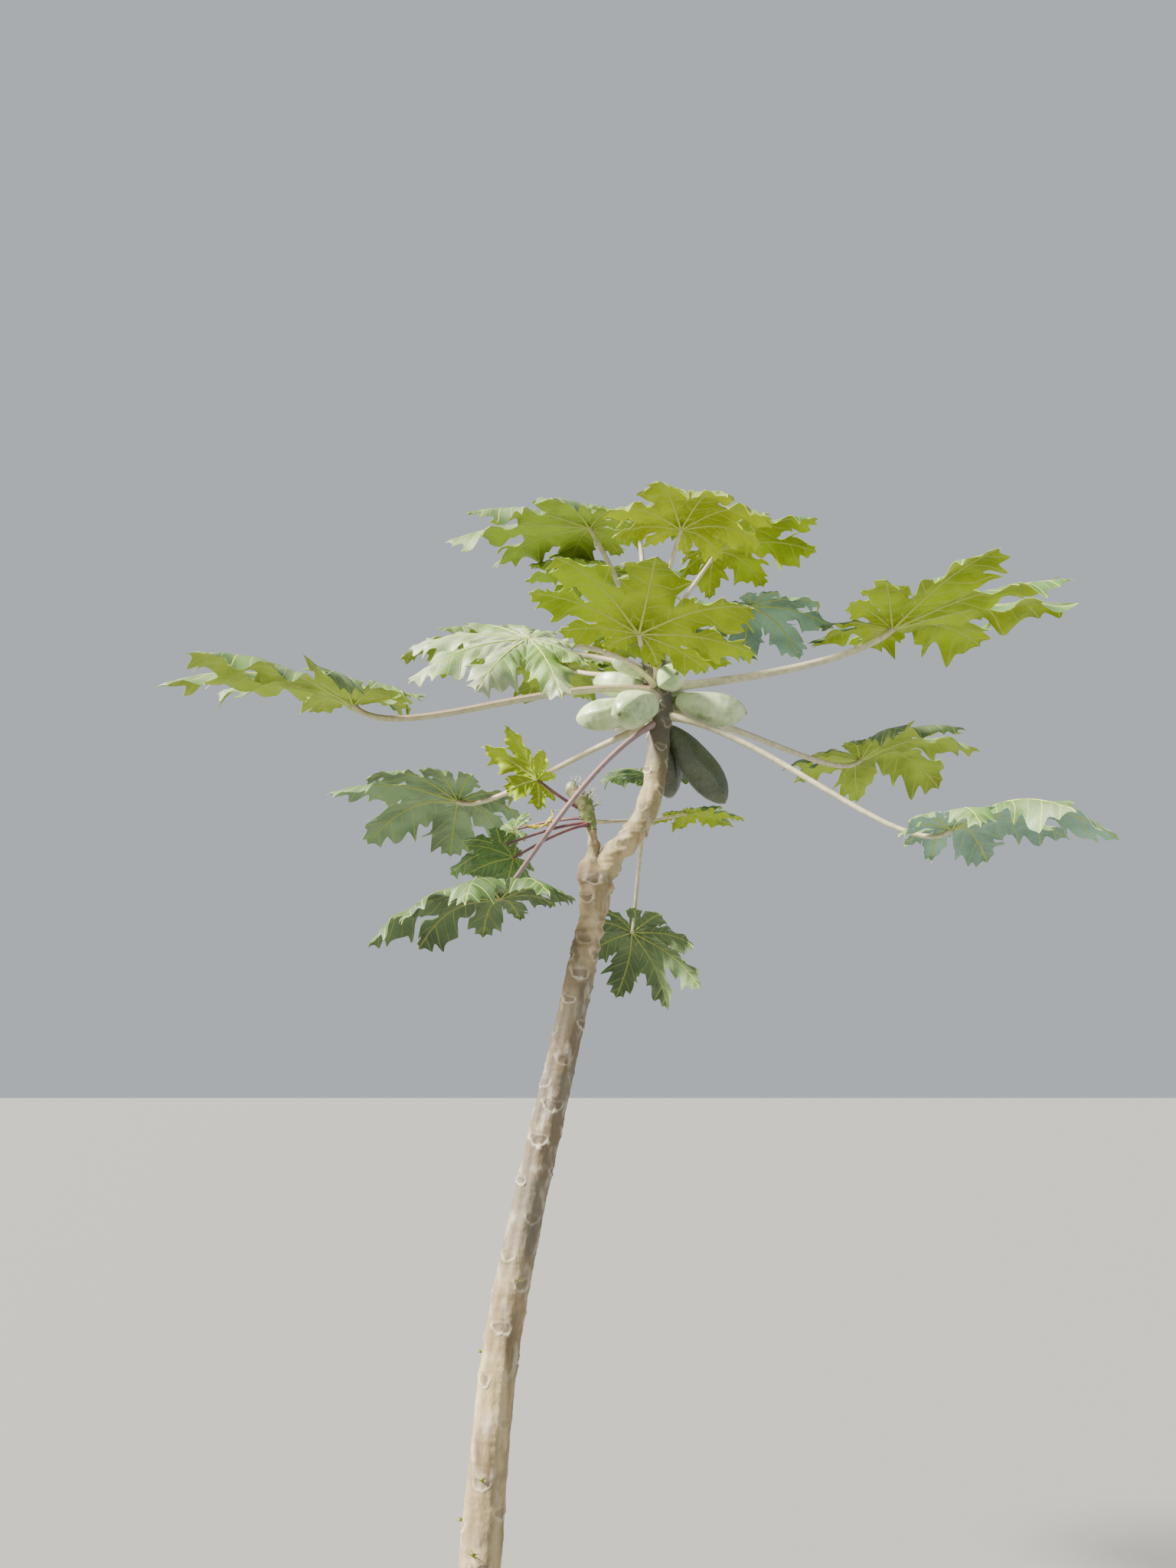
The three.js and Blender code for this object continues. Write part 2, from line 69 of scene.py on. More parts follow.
# One row for each leaf. The stalk leaves the stem at height foot and azimuth, rises at climb
# degrees, comes in to the blade at hook degrees and meets it at reach from the stem's axis and
# at height. The blade's longest lobe is blade long. It is pitched, rolled and turned, its lobes
# rise by cup degrees at the hub and bend down by droop degrees to the tip.
Leaf = namedtuple(
    "Leaf", "name foot azimuth reach height climb hook blade pitch roll turn cup droop tint stalk twist"
)
CROWN_LEAVES = [
    Leaf("leaf_left", 2.53, 194, 0.805, 2.43, 6, 50, 0.48, 0, -12, 0, 18, 38, 1, "pink", 34),
    Leaf("leaf_front_left", 2.538, 237, 0.6, 2.485, 22, -5, 0.305, -18, -36, -30, 2, 32, 2, "pink", 40),
    Leaf("leaf_front", 2.556, 262, 0.54, 2.485, 30, 30, 0.345, 8, -14, 14, 8, 34, 0, "pale", 16),
    Leaf("leaf_top_left", 2.655, 176, 0.17, 3.02, 72, 62, 0.4, 0, -8, 0, 6, 30, 1, "pale", 40),
    Leaf("leaf_top_right", 2.662, 15, 0.2, 2.97, 66, 60, 0.3, 4, -8, 0, 16, 50, 0, "pale", 30),
    Leaf("leaf_right", 2.545, 8, 0.67, 2.75, 8, 48, 0.55, 0, 5, 0, 18, 28, 0, "pale", 36),
    Leaf("leaf_back_right", 2.59, 48, 0.47, 2.93, 46, 40, 0.3, -2, 0, 0, 2, 38, 5, "pale", 24),
    Leaf("leaf_far_right", 2.478, 42, 0.9, 2.51, 8, 40, 0.45, 0, -6, 0, 22, 58, 1, "pale", 34),
    Leaf("leaf_low_right", 2.462, 340, 0.72, 2.1, -14, 40, 0.37, 2, 0, 0, 14, 60, 5, "pale", 30),
    Leaf("leaf_far_left", 2.446, 140, 0.77, 2.35, -4, 30, 0.43, -8, 12, 0, 18, 55, 6, "pink", 30),
    Leaf("leaf_low_left", 2.44, 221, 0.52, 1.918, -30, -48, 0.33, -1, 8, 0, 8, 74, 3, "lilac", 24),
    Leaf("leaf_low_back", 2.455, 97, 0.5, 1.95, -25, -50, 0.3, -50, 0, -48, 10, 50, 3, "pale", 24),
    Leaf("leaf_back", 2.466, 88, 0.72, 2.48, 6, 30, 0.27, 24, 0, 0, 10, 34, 0, "pale", 20),
    Leaf("leaf_back_left", 2.568, 118, 0.56, 2.79, 24, 40, 0.36, 4, 0, 0, 10, 45, 1, "pale", 24),
    Leaf("leaf_top_front", 2.69, 290, 0.21, 2.91, 58, 50, 0.31, 4, 0, 0, 10, 56, 4, "pale", 20),
    Leaf("leaf_top_back", 2.672, 95, 0.25, 3.16, 68, 60, 0.39, 14, 0, 0, 16, 40, 0, "pale", 30),
    Leaf("leaf_mid_left", 2.585, 152, 0.45, 2.75, 34, 30, 0.36, 0, 0, 0, 8, 45, 1, "pink", 24),
    Leaf("leaf_high_back", 2.612, 84, 0.43, 2.85, 50, 40, 0.39, 4, 0, 0, 10, 45, 0, "pale", 24),
    Leaf("leaf_high_back_left", 2.626, 118, 0.29, 3.0, 66, 50, 0.29, 8, 0, 0, 10, 46, 1, "pale", 24),
]
SHOOT_LEAVES = [
    Leaf("shoot_leaf_left", 2.205, 186, 0.13, 2.285, 25, 40, 0.18, 30, 35, -20, 10, 20, 0, "purple", 20),
    Leaf("shoot_leaf_right", 2.175, 46, 0.4, 2.265, 10, 25, 0.19, 0, 0, 0, 6, 30, 0, "pale", 20),
    Leaf("shoot_leaf_upper", 2.185, 144, 0.255, 2.183, 8, -10, 0.155, -12, -55, 0, 0, 34, 7, "purple", 20),
    Leaf("shoot_leaf_middle", 2.172, 181, 0.23, 2.108, -5, -20, 0.15, -18, -58, 0, 0, 34, 7, "purple", 20),
    Leaf("shoot_leaf_lower", 2.165, 222, 0.255, 2.045, -15, -30, 0.15, -16, -55, 0, 0, 34, 7, "purple", 20),
]
# The seeds of the leaves count up from these.
CROWN_SEED = 1
SHOOT_SEED = 31

# Each fruit: height and azimuth of its foot, slope of its axis, length with the stalk, widest
# diameter, and the number of its green, where 2 is a dark copy of the skin that paints shade.
Fruit = namedtuple("Fruit", "name foot azimuth slope length width tint")
FRUITS = [
    Fruit("fruit_left", 2.5, 168, -8, 0.215, 0.088, 0),
    Fruit("fruit_front", 2.508, 235, -24, 0.205, 0.102, 0),
    Fruit("fruit_small_front", 2.548, 287, -4, 0.112, 0.074, 1),
    Fruit("fruit_young_right", 2.602, 12, 42, 0.13, 0.05, 1),
    Fruit("fruit_right", 2.518, 352, -14, 0.215, 0.092, 0),
    Fruit("fruit_long", 2.47, 12, -54, 0.275, 0.094, 2),
    Fruit("fruit_young_left", 2.566, 190, 20, 0.115, 0.042, 1),
    Fruit("fruit_back_left", 2.536, 152, 16, 0.19, 0.07, 0),
    Fruit("fruit_back_low", 2.462, 78, -52, 0.22, 0.084, 2),
    Fruit("fruit_back", 2.52, 122, -12, 0.19, 0.084, 0),
    Fruit("fruit_back_right", 2.53, 50, -2, 0.16, 0.07, 0),
]

# Lobes of a blade: angle from the leaf's axis in degrees, and share of the longest lobe.
LARGE_LOBES = [(0, 1), (38, 0.95), (76, 0.8), (113, 0.6), (148, 0.4)]
SMALL_LOBES = [(0, 1), (46, 0.88), (92, 0.66), (136, 0.42)]
# Blades longer than this have the large lobes.
SMALLEST_LARGE_BLADE = 0.25
# The lobe's edge, read along its midrib: where a side vein leaves the midrib, and how far the
# blade runs out along that vein, as shares of the lobe's length. Teeth and notches take turns.
LONG_EDGE = [
    (0.0, 0.2), (0.27, 0.2), (0.361, 0.27), (0.429, 0.2), (0.497, 0.33), (0.569, 0.215), (0.724, 0.235),
    (0.782, 0.12), (0.862, 0.125), (0.925, 0.045), (1.0, 0.0),
]
SHORT_EDGE = [
    (0.0, 0.2), (0.25, 0.22), (0.378, 0.36), (0.485, 0.24), (0.62, 0.29), (0.72, 0.15), (0.82, 0.15),
    (0.9, 0.05), (1.0, 0.0),
]
LONG_VEINS = [0.0, 0.12, 0.25, 0.361, 0.497, 0.724, 0.862, 1.0]
SHORT_VEINS = [0.0, 0.12, 0.25, 0.378, 0.62, 0.82, 1.0]
# Lobes longer than this share of the longest one have the long edge.
LONG_EDGE_FROM = 0.7
# The angle of a side vein to its midrib, and how hollow the edge runs up to a tooth.
VEIN_ANGLE = math.radians(46)
TOOTH_POINT = 1.35
# Shares of a lobe's length: the stiff hub, and the web up to where the cut between lobes begins.
HUB = 0.25
SINUS = 0.52
# How much of the way to the next lobe the blade keeps beside the cut, and how steeply a lobe's two
# sides hang from its midrib.
SLIT = 0.93
FOLD = 0.28
# Faces of a flat blade that stand steeper than this are its rim.
RIM_SLOPE = 0.5
# What the blade's own map multiplies the way out from the midrib by, in metres.
VEIN_MAP_SCALE = 10
ROWS_PER_BLADE = 56
COLUMNS = 14

# Diameters along a fruit, as shares of its widest one.
FRUIT_PROFILE = [
    (0.0, 0.15), (0.08, 0.15), (0.11, 0.3), (0.16, 0.47), (0.24, 0.65), (0.34, 0.8), (0.45, 0.91),
    (0.56, 0.985), (0.66, 1.0), (0.76, 0.93), (0.85, 0.77), (0.92, 0.54), (0.97, 0.29), (1.0, 0.0),
]


def smoothstep(value, low, high):
    share = min(1.0, max(0.0, (value - low) / (high - low)))
    return share * share * (3 - 2 * share)


def lerp(first, second, share):
    return first + (second - first) * share


def chance(seed, item):
    """A repeatable number from 0 to 1 for one item of one leaf."""
    return ((seed * 7919 + item * 3571 + seed * item * 131) % 1009) / 1009


def swing(seed, item, size):
    return size * (chance(seed, item) - 0.5)


def hump(value, middle, width):
    """1 in the middle, fading softly to 0 on both sides."""
    return math.exp(-(((value - middle) / width) ** 2))


def turned(axis, degrees):
    return Matrix.Rotation(math.radians(degrees), 4, axis)


def seat(foot, azimuth, tilt):
    """A frame at foot, turned to an azimuth and tilted towards it."""
    return Matrix.Translation(foot) @ turned("Z", azimuth) @ turned("Y", tilt)


def along_table(table, value):
    """Reads a table of (place, number) rows with straight steps between its rows."""
    for (low, first), (high, second) in zip(table, table[1:]):
        if value <= high:
            return lerp(first, second, (value - low) / (high - low))
    return table[-1][1]


class Line:
    """A smooth line through a few points in one upright plane, read by share or by height."""

    FINE_STEPS = 24

    def __init__(self, corners):
        places = [Vector((x, 0, z)) for x, z in corners]
        padded = [2 * places[0] - places[1], *places, 2 * places[-1] - places[-2]]
        self.points = [places[0]]
        for before, first, second, after in zip(padded, padded[1:], padded[2:], padded[3:]):
            ends = ((before, first), (first, second), (second, after))
            spans = [(end - start).length ** 0.5 for start, end in ends]
            leave = self.tangent(before, first, second, spans[0], spans[1])
            arrive = self.tangent(first, second, after, spans[1], spans[2])
            for step in range(1, self.FINE_STEPS + 1):
                t = step / self.FINE_STEPS
                self.points.append(
                    (2 * t**3 - 3 * t**2 + 1) * first
                    + (t**3 - 2 * t**2 + t) * spans[1] * leave
                    + (3 * t**2 - 2 * t**3) * second
                    + (t**3 - t**2) * spans[1] * arrive
                )
        self.lengths = [0.0]
        for first, second in zip(self.points, self.points[1:]):
            self.lengths.append(self.lengths[-1] + (second - first).length)

    @staticmethod
    def tangent(before, here, after, first_span, second_span):
        return (
            (here - before) / first_span
            - (after - before) / (first_span + second_span)
            + (after - here) / second_span
        )

    def at(self, share):
        """The point and the direction at a share of the length."""
        goal = share * self.lengths[-1]
        index = 1
        while index < len(self.lengths) - 1 and self.lengths[index] < goal:
            index += 1
        low, high = self.lengths[index - 1], self.lengths[index]
        first, second = self.points[index - 1], self.points[index]
        return first.lerp(second, (goal - low) / (high - low)), (second - first).normalized()

    def at_height(self, height):
        for first, second in zip(self.points, self.points[1:]):
            if second.z >= height:
                return first.lerp(second, (height - first.z) / (second.z - first.z))
        return self.points[-1]


trunk_line = Line(TRUNK_LINE)
crown_stem_line = Line(CROWN_STEM_LINE)
shoot_line = Line(SHOOT_LINE)


def add_sheet(bm, columns, rows, place, mark=None):
    """Adds a grid, whose points place(u, v) puts where they belong, both from 0 to 1."""
    uv = bm.loops.layers.uv.verify()
    grid = bmesh.ops.create_grid(bm, x_segments=columns, y_segments=rows, size=0.5, calc_uvs=True)
    verts = grid["verts"]
    if mark:
        for face in {face for vert in verts for face in vert.link_faces}:
            for loop in face.loops:
                loop[uv].uv = mark(*loop[uv].uv)
    for vert in verts:
        vert.co = place(vert.co.x + 0.5, vert.co.y + 0.5)
    return verts


WELD, FINE_WELD, RIB_WELD = 0.00002, 0.000002, 0.000001


def close_up(bm, distance=WELD):
    """Welds the seams, closes the open ends and turns the faces outwards."""
    bmesh.ops.remove_doubles(bm, verts=bm.verts, dist=distance)
    bmesh.ops.holes_fill(bm, edges=[edge for edge in bm.edges if edge.is_boundary], sides=0)
    bmesh.ops.dissolve_degenerate(bm, dist=distance / 4, edges=bm.edges)
    bmesh.ops.recalc_face_normals(bm, faces=bm.faces)


def add_tube(bm, points, side, radius_at, sides):
    """Adds a round tube along points in one plane, whose normal is side."""
    rows = len(points) - 1
    frames = []
    for index, point in enumerate(points):
        ahead = points[min(index + 1, rows)] - points[max(index - 1, 0)]
        frames.append((point, ahead.cross(side).normalized()))

    def place(u, v):
        point, over = frames[round(v * rows)]
        angle = 2 * math.pi * u
        radius = radius_at(v, angle)
        return point + radius * (math.cos(angle) * side + math.sin(angle) * over)

    return add_sheet(bm, sides, rows, place)


def finish_piece(bm, name, materials, slot, replaced=()):
    """Makes the mesh an object that rides on the plant and may stand for solids."""
    mesh = bpy.data.meshes.new(name)
    bm.to_mesh(mesh)
    bm.free()
    for polygon in mesh.polygons:
        polygon.use_smooth = True
    for material in materials:
        mesh.materials.append(material)
    piece = bpy.data.objects.new(name, mesh)
    bpy.context.scene.collection.objects.link(piece)
    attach(piece, "root")
    if replaced:
        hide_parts(*replaced)
    return piece


class Finish:
    """A material in the making, whose nodes are added in plain words."""

    MIX_FACTOR, MIX_FIRST, MIX_SECOND, MIX_RESULT = 0, 6, 7, 2

    def __init__(self, title, **sockets):
        self.material = bpy.data.materials.new(title)
        self.material.use_nodes = True
        self.tree = self.material.node_tree
        self.surface = self.tree.nodes["Principled BSDF"]
        for socket, value in sockets.items():
            name = socket.replace("_", " ").title().replace("Ior", "IOR")
            self.surface.inputs[name].default_value = value

    def feed(self, socket, value):
        if isinstance(value, bpy.types.NodeSocket):
            self.tree.links.new(value, socket)
        elif hasattr(value, "__len__") and len(value) == 3 and socket.type == "RGBA":
            socket.default_value = (*value, 1)
        else:
            socket.default_value = value

    def node(self, kind, inputs=(), **settings):
        made = self.tree.nodes.new("ShaderNode" + kind)
        for key, value in settings.items():
            setattr(made, key, value)
        for socket, value in dict(inputs).items():
            self.feed(made.inputs[socket], value)
        return made

    def math(self, operation, first, second=0.0):
        return self.node("Math", {0: first, 1: second}, operation=operation).outputs[0]

    def plus(self, first, second):
        return self.math("ADD", first, second)

    def less(self, first, second):
        return self.math("SUBTRACT", first, second)

    def times(self, first, second):
        return self.math("MULTIPLY", first, second)

    def from_half(self, value):
        """How far a value is from the middle between two whole numbers."""
        return self.math("ABSOLUTE", self.less(self.math("FRACT", value), 0.5))

    def band(self, value, low, high):
        """0 below low and 1 above high, with a soft step between, or the other way round."""
        made = self.node("MapRange", {"Value": value}, interpolation_type="SMOOTHSTEP")
        made.inputs["From Min"].default_value = min(low, high)
        made.inputs["From Max"].default_value = max(low, high)
        made.inputs["To Min"].default_value = float(low > high)
        made.inputs["To Max"].default_value = float(low <= high)
        return made.outputs["Result"]

    def blend(self, factor, first, second):
        made = self.node("Mix", data_type="RGBA")
        self.feed(made.inputs[self.MIX_FACTOR], factor)
        self.feed(made.inputs[self.MIX_FIRST], first)
        self.feed(made.inputs[self.MIX_SECOND], second)
        return made.outputs[self.MIX_RESULT]

    def cover(self, base, mask, share, colour):
        """Lays a colour over the base where the mask is, by a share."""
        return self.blend(self.times(mask, share), base, colour)

    def place(self, stretch=(1, 1, 1)):
        """Places on the piece in metres, stretched where a pattern runs one way."""
        there = self.node("TexCoord").outputs["Object"]
        return self.node("Mapping", {"Vector": there, "Scale": stretch}).outputs["Vector"]

    def cloud(self, scale, detail=3.0, stretch=(1, 1, 1)):
        inputs = {"Vector": self.place(stretch), "Scale": scale, "Detail": detail}
        return self.node("TexNoise", inputs).outputs["Fac"]

    def cells(self, scale):
        inputs = {"Vector": self.place(), "Scale": scale}
        return self.node("TexVoronoi", inputs, feature="DISTANCE_TO_EDGE").outputs["Distance"]

    def net(self, scale, line):
        """1 on the lines of a fine net, and 0 in its meshes."""
        return self.less(1.0, self.band(self.cells(scale), 0.0, line))

    def marks(self, channel):
        """One number of the marks that the bark's points carry."""
        there = self.node("Attribute", attribute_name="marks").outputs["Color"]
        return self.node("SeparateColor", {"Color": there}).outputs[channel]

    def sheet_place(self, axis):
        there = self.node("UVMap").outputs["UV"]
        return self.node("SeparateXYZ", {"Vector": there}).outputs[axis]

    def dress(self, colour, height=None, strength=0.5, distance=0.001):
        self.feed(self.surface.inputs["Base Color"], colour)
        if height is not None:
            bump = self.node("Bump", {"Height": height, "Strength": strength, "Distance": distance})
            self.feed(self.surface.inputs["Normal"], bump.outputs["Normal"])
        return self.material


def clouded_finish(title, roughness, cloud, colour, shades, strength, distance, other=None):
    """A finish of two shades, of one colour or of two, in small clouds, which are its relief too."""
    look = Finish(title, roughness=roughness)
    spots = look.cloud(*cloud)
    base = look.blend(spots, shade(colour, shades[0]), shade(other or colour, shades[1]))
    return look.dress(base, spots, strength, distance)


def shade(colour, brightness, green=1.0):
    red, middle, blue = [channel * brightness for channel in colour]
    return [min(1.0, red), min(1.0, middle * green), blue]


def mixed(first, second, share):
    return [lerp(a, b, share) for a, b in zip(first, second)]


def colour_property(name, description, default):
    return bpy.props.FloatVectorProperty(
        name=name, description=description, default=default, subtype="COLOR", size=3, min=0, max=1
    )


def length_property(name, description, default):
    return bpy.props.FloatProperty(
        name=name, description=description, default=default,
        subtype="DISTANCE", unit="LENGTH", min=0, precision=4,
    )


def number_property(name, description, default):
    return bpy.props.FloatProperty(name=name, description=description, default=default, min=0)


class PapayaBark(bpy.types.PropertyGroup):
    """Relief and colours of the trunk, the crown stem and the side shoot."""

    rim_height: length_property("Scar rim", "How far a leaf scar's corky rim stands out", 0.0026)
    scar_depth: length_property("Scar depth", "How deep the inside of a leaf scar lies", 0.0016)
    bulge: length_property("Node bulge", "How far the stem swells round a leaf scar", 0.0036)
    bud: length_property("Bud", "How far the dormant bud over a scar stands out", 0.0024)
    flute_depth: length_property("Flute depth", "How deep the shallow flutes run up the trunk", 0.0013)
    wrinkle_depth: length_property("Wrinkles", "Height of the fine wrinkles round the stem", 0.0006)
    fold_depth: length_property("Folds", "Height of the rough folds under the trunk's fork", 0.0075)
    grain_depth: length_property("Grain depth", "Height of the bark's own unevenness", 0.0016)
    scar_width: length_property("Scar width", "Half the width of a leaf scar low on the trunk", 0.021)
    scar_height: length_property("Scar height", "Half the height of a leaf scar", 0.0115)
    pale: colour_property("Pale bark", "Bark where it is smooth and dry", (0.48, 0.375, 0.195))
    # The patches this dark colour paints are partly the bark's own old patches and partly painted dappled
    # shade of the leaves.
    dark: colour_property("Dark bark", "Bark in streaks and old patches", (0.165, 0.115, 0.058))
    # Painted shade: this dark grey covers the trunk half way up, where the crown's shadow falls.
    grey: colour_property("Grey bark", "Bark with a grey skin half way up the trunk", (0.125, 0.112, 0.088))
    # Painted shade: this near-black brown stands for the shade under the fruits and leaves on the crown
    # stem.
    brown: colour_property("Brown bark", "Bark of the crown stem between its fruits", (0.062, 0.056, 0.05))
    rim: colour_property("Rim", "Corky rim round each leaf scar", (0.66, 0.6, 0.45))
    scar: colour_property("Scar", "Inside of each leaf scar", (0.13, 0.1, 0.07))
    green: colour_property("Green bark", "Young bark of the side shoot and the top", (0.13, 0.18, 0.045))


class PapayaFoliage(bpy.types.PropertyGroup):
    """Sizes and colours of the blades and their stalks."""

    thickness: length_property("Blade thickness", "Thickness of a blade", 0.0012)
    rib_width: length_property("Rib width", "Width of the longest lobe's midrib at the hub", 0.0095)
    wave: number_property("Edge wave", "Height of the edge waves as a share of the lobe", 0.035)
    quilt: length_property("Quilt", "How far the blade bulges between side veins", 0.0036)
    upper: colour_property("Upper side", "Waxy upper side of a blade", (0.066, 0.138, 0.03))
    # Partly painted light: the under side's own pale green is brightened to the yellow-green glow of
    # sunlight shining through the blade.
    under: colour_property("Under side", "Sunlit under side of a blade", (0.31, 0.43, 0.002))
    # Painted shade: a cool green that stands for the under side of a leaf in shade.
    cool: colour_property("Cool under side", "Shaded under side of a blade", (0.23, 0.45, 0.46))
    vein: colour_property("Veins", "Ribs and side veins", (0.42, 0.5, 0.09))
    yellowed: colour_property("Yellowed", "Blade that has begun to fade", (0.5, 0.45, 0.01))
    pale_stalk: colour_property("Pale stalk", "Stalk of an old leaf", (0.5, 0.47, 0.29))
    pink_stalk: colour_property("Pink stalk", "Sunny side of a stalk", (0.34, 0.17, 0.12))
    lilac_stalk: colour_property("Lilac stalk", "Stalk of a drooping old leaf", (0.26, 0.19, 0.2))
    purple_stalk: colour_property("Purple stalk", "Stalk of a young leaf", (0.13, 0.04, 0.055))


class PapayaFruits(bpy.types.PropertyGroup):
    """Shape and colours of the green fruits and the flower buds."""

    ribs: bpy.props.IntProperty(
        name="Ribs", description="Soft ribs round a fruit", default=5, min=3, max=8
    )
    rib_depth: number_property("Rib depth", "Height of the ribs as a share of the width", 0.075)
    skin: colour_property("Skin", "Green skin of an unripe fruit", (0.2, 0.31, 0.11))
    bloom: colour_property("Bloom", "Pale wax on the skin", (0.6, 0.7, 0.42))
    peduncle: colour_property("Peduncle", "Short stalk of a fruit", (0.13, 0.145, 0.055))
    petal: colour_property("Petal", "Petals of the opening flowers", (0.5, 0.5, 0.33))


class PapayaStage(bpy.types.PropertyGroup):
    """Floor, light and camera."""

    floor: colour_property("Floor", "Plain pale floor", (0.23, 0.23, 0.224))
    backdrop: colour_property("Backdrop", "Pale light all round", (0.82, 0.87, 0.94))
    backdrop_strength: number_property("Backdrop strength", "Strength of the light all round", 0.6)
    key_strength: number_property("Key light", "Strength of the main light, in watts a square metre", 18)
    key_angle: bpy.props.FloatProperty(
        name="Key light's softness", description="How wide the main light looks from the plant",
        default=math.radians(10), min=0, max=math.pi, subtype="ANGLE", unit="ROTATION",
    )
    fill_strength: number_property("Fill light", "Power of the low light, in watts", 30)


# The trunk in metres: its width at the ground and how much it narrows in a metre, its flare and how
# soon that fades, the height, size and reach of the swelling at its fork, and the bare stub's widths
# and the heights between which the trunk becomes the stub.
FOOT_WIDTH, TAPER = 0.102, 0.019
FLARE, FLARE_FADE = 0.018, 0.12
FORK, FORK_SWELLING, FORK_REACH = 2.025, 0.02, 0.055
STUB_WIDTH, STUB_END_WIDTH = 0.05, 0.024
STUB_FROM, STUB_FULL, STUB_TO = 2.03, 2.09, 2.15
# The crown stem: its waist under the fruits, the flare where it leaves the trunk, and its top.
WAIST, WAIST_HEIGHT, WAIST_REACH = 0.004, 2.33, 0.09
STEM_FLARE, STEM_FLARE_FADE = 0.02, 0.05
STEM_TOP_WIDTH, STEM_TOP = 0.026, (2.6, 2.74)
# The side shoot's widths at both ends, and the share of its length at which it is widest.
SHOOT_FOOT_WIDTH, SHOOT_TOP_WIDTH, SHOOT_WIDEST = 0.024, 0.028, 0.55


def limb_width(share, point):
    """The trunk's diameter: taper, flare at the foot, swelling at the fork and the bare stub."""
    height = point.z
    below = FOOT_WIDTH - TAPER * height + FLARE * math.exp(-height / FLARE_FADE)
    below += FORK_SWELLING * hump(height, FORK, FORK_REACH)
    stub = lerp(STUB_WIDTH, STUB_END_WIDTH, smoothstep(height, STUB_FROM, STUB_TO))
    return lerp(below, stub, smoothstep(height, STUB_FROM, STUB_FULL))


def crown_stem_width(share, point):
    width = CROWN_STEM_WIDTH - WAIST * hump(point.z, WAIST_HEIGHT, WAIST_REACH)
    width += STEM_FLARE * math.exp(-share / STEM_FLARE_FADE)
    return lerp(width, STEM_TOP_WIDTH, smoothstep(point.z, *STEM_TOP))


def shoot_width(share, point):
    lower = lerp(SHOOT_FOOT_WIDTH, SHOOT_WIDTH, smoothstep(share, 0, SHOOT_WIDEST))
    return lerp(lower, SHOOT_TOP_WIDTH, smoothstep(share, SHOOT_WIDEST, 1))


Scar = namedtuple("Scar", "along angle width height strength")
# How many of its half heights a scar's swelling and its trail reach.
SCAR_REACH = 5


# Each limb: its line and width, from where to where along it the scars stand and the first and the
# last step between them, how wide and high they are by those low on the trunk, their seed, the
# bark's columns and rows, how green it is, and its slot.
Limb = namedtuple(
    "Limb", "line width_at start end first_step last_step wide high seed columns rows green slot"
)
LIMBS = {
    "trunk": Limb(trunk_line, limb_width, 0.05, 2.06, 0.04, 0.015, 1, 1, 3, 112, 680, 0.0, "bark"),
    "crown_stem": Limb(
        crown_stem_line, crown_stem_width, 0.05, 0.68, 0.024, 0.012, 0.72, 0.85, 5, 80, 300, 0.12, "bark"
    ),
    "side_shoot": Limb(
        shoot_line, shoot_width, 0.008, 0.12, 0.009, 0.007, 0.34, 0.4, 7, 48, 90, 0.85, "green_stem"
    ),
}
SPIRAL = 137.5


def scars_along(limb, bark):
    """Leaf scars that climb a limb in a spiral, each with its own small changes."""
    scars = []
    along, turn = limb.start, 0.0
    while along < limb.end:
        k = len(scars)
        size = 1 + swing(limb.seed, k, 0.4)
        width, height = bark.scar_width * limb.wide * size, bark.scar_height * limb.high * size
        strength = 0.35 + 0.85 * chance(limb.seed, k + 900)
        scars.append(Scar(along, turn, width, height, strength))
        share = (along - limb.start) / (limb.end - limb.start)
        step = lerp(limb.first_step, limb.last_step, share * share)
        along += step * (1 + swing(limb.seed, k + 300, 0.6))
        turn = (turn + math.radians(SPIRAL + swing(limb.seed, k + 600, 24))) % (2 * math.pi)
    return scars


# Heights in metres between which the bark's shape changes: the swellings round the scars grow and
# the flutes fade towards the fork, and the rough folds under it begin and end.
SWELLINGS_GROW = (1.75, 2.05)
FLUTES_FADE = (1.7, 2.05)
FOLDS_BEGIN, FOLDS_END = (1.72, 1.9), (2.12, 2.2)
FLUTES, FINE_FLUTES = 5, 11
# How high over a scar's middle its dormant bud sits, in half heights of the scar.
BUD_SEAT = 1.25


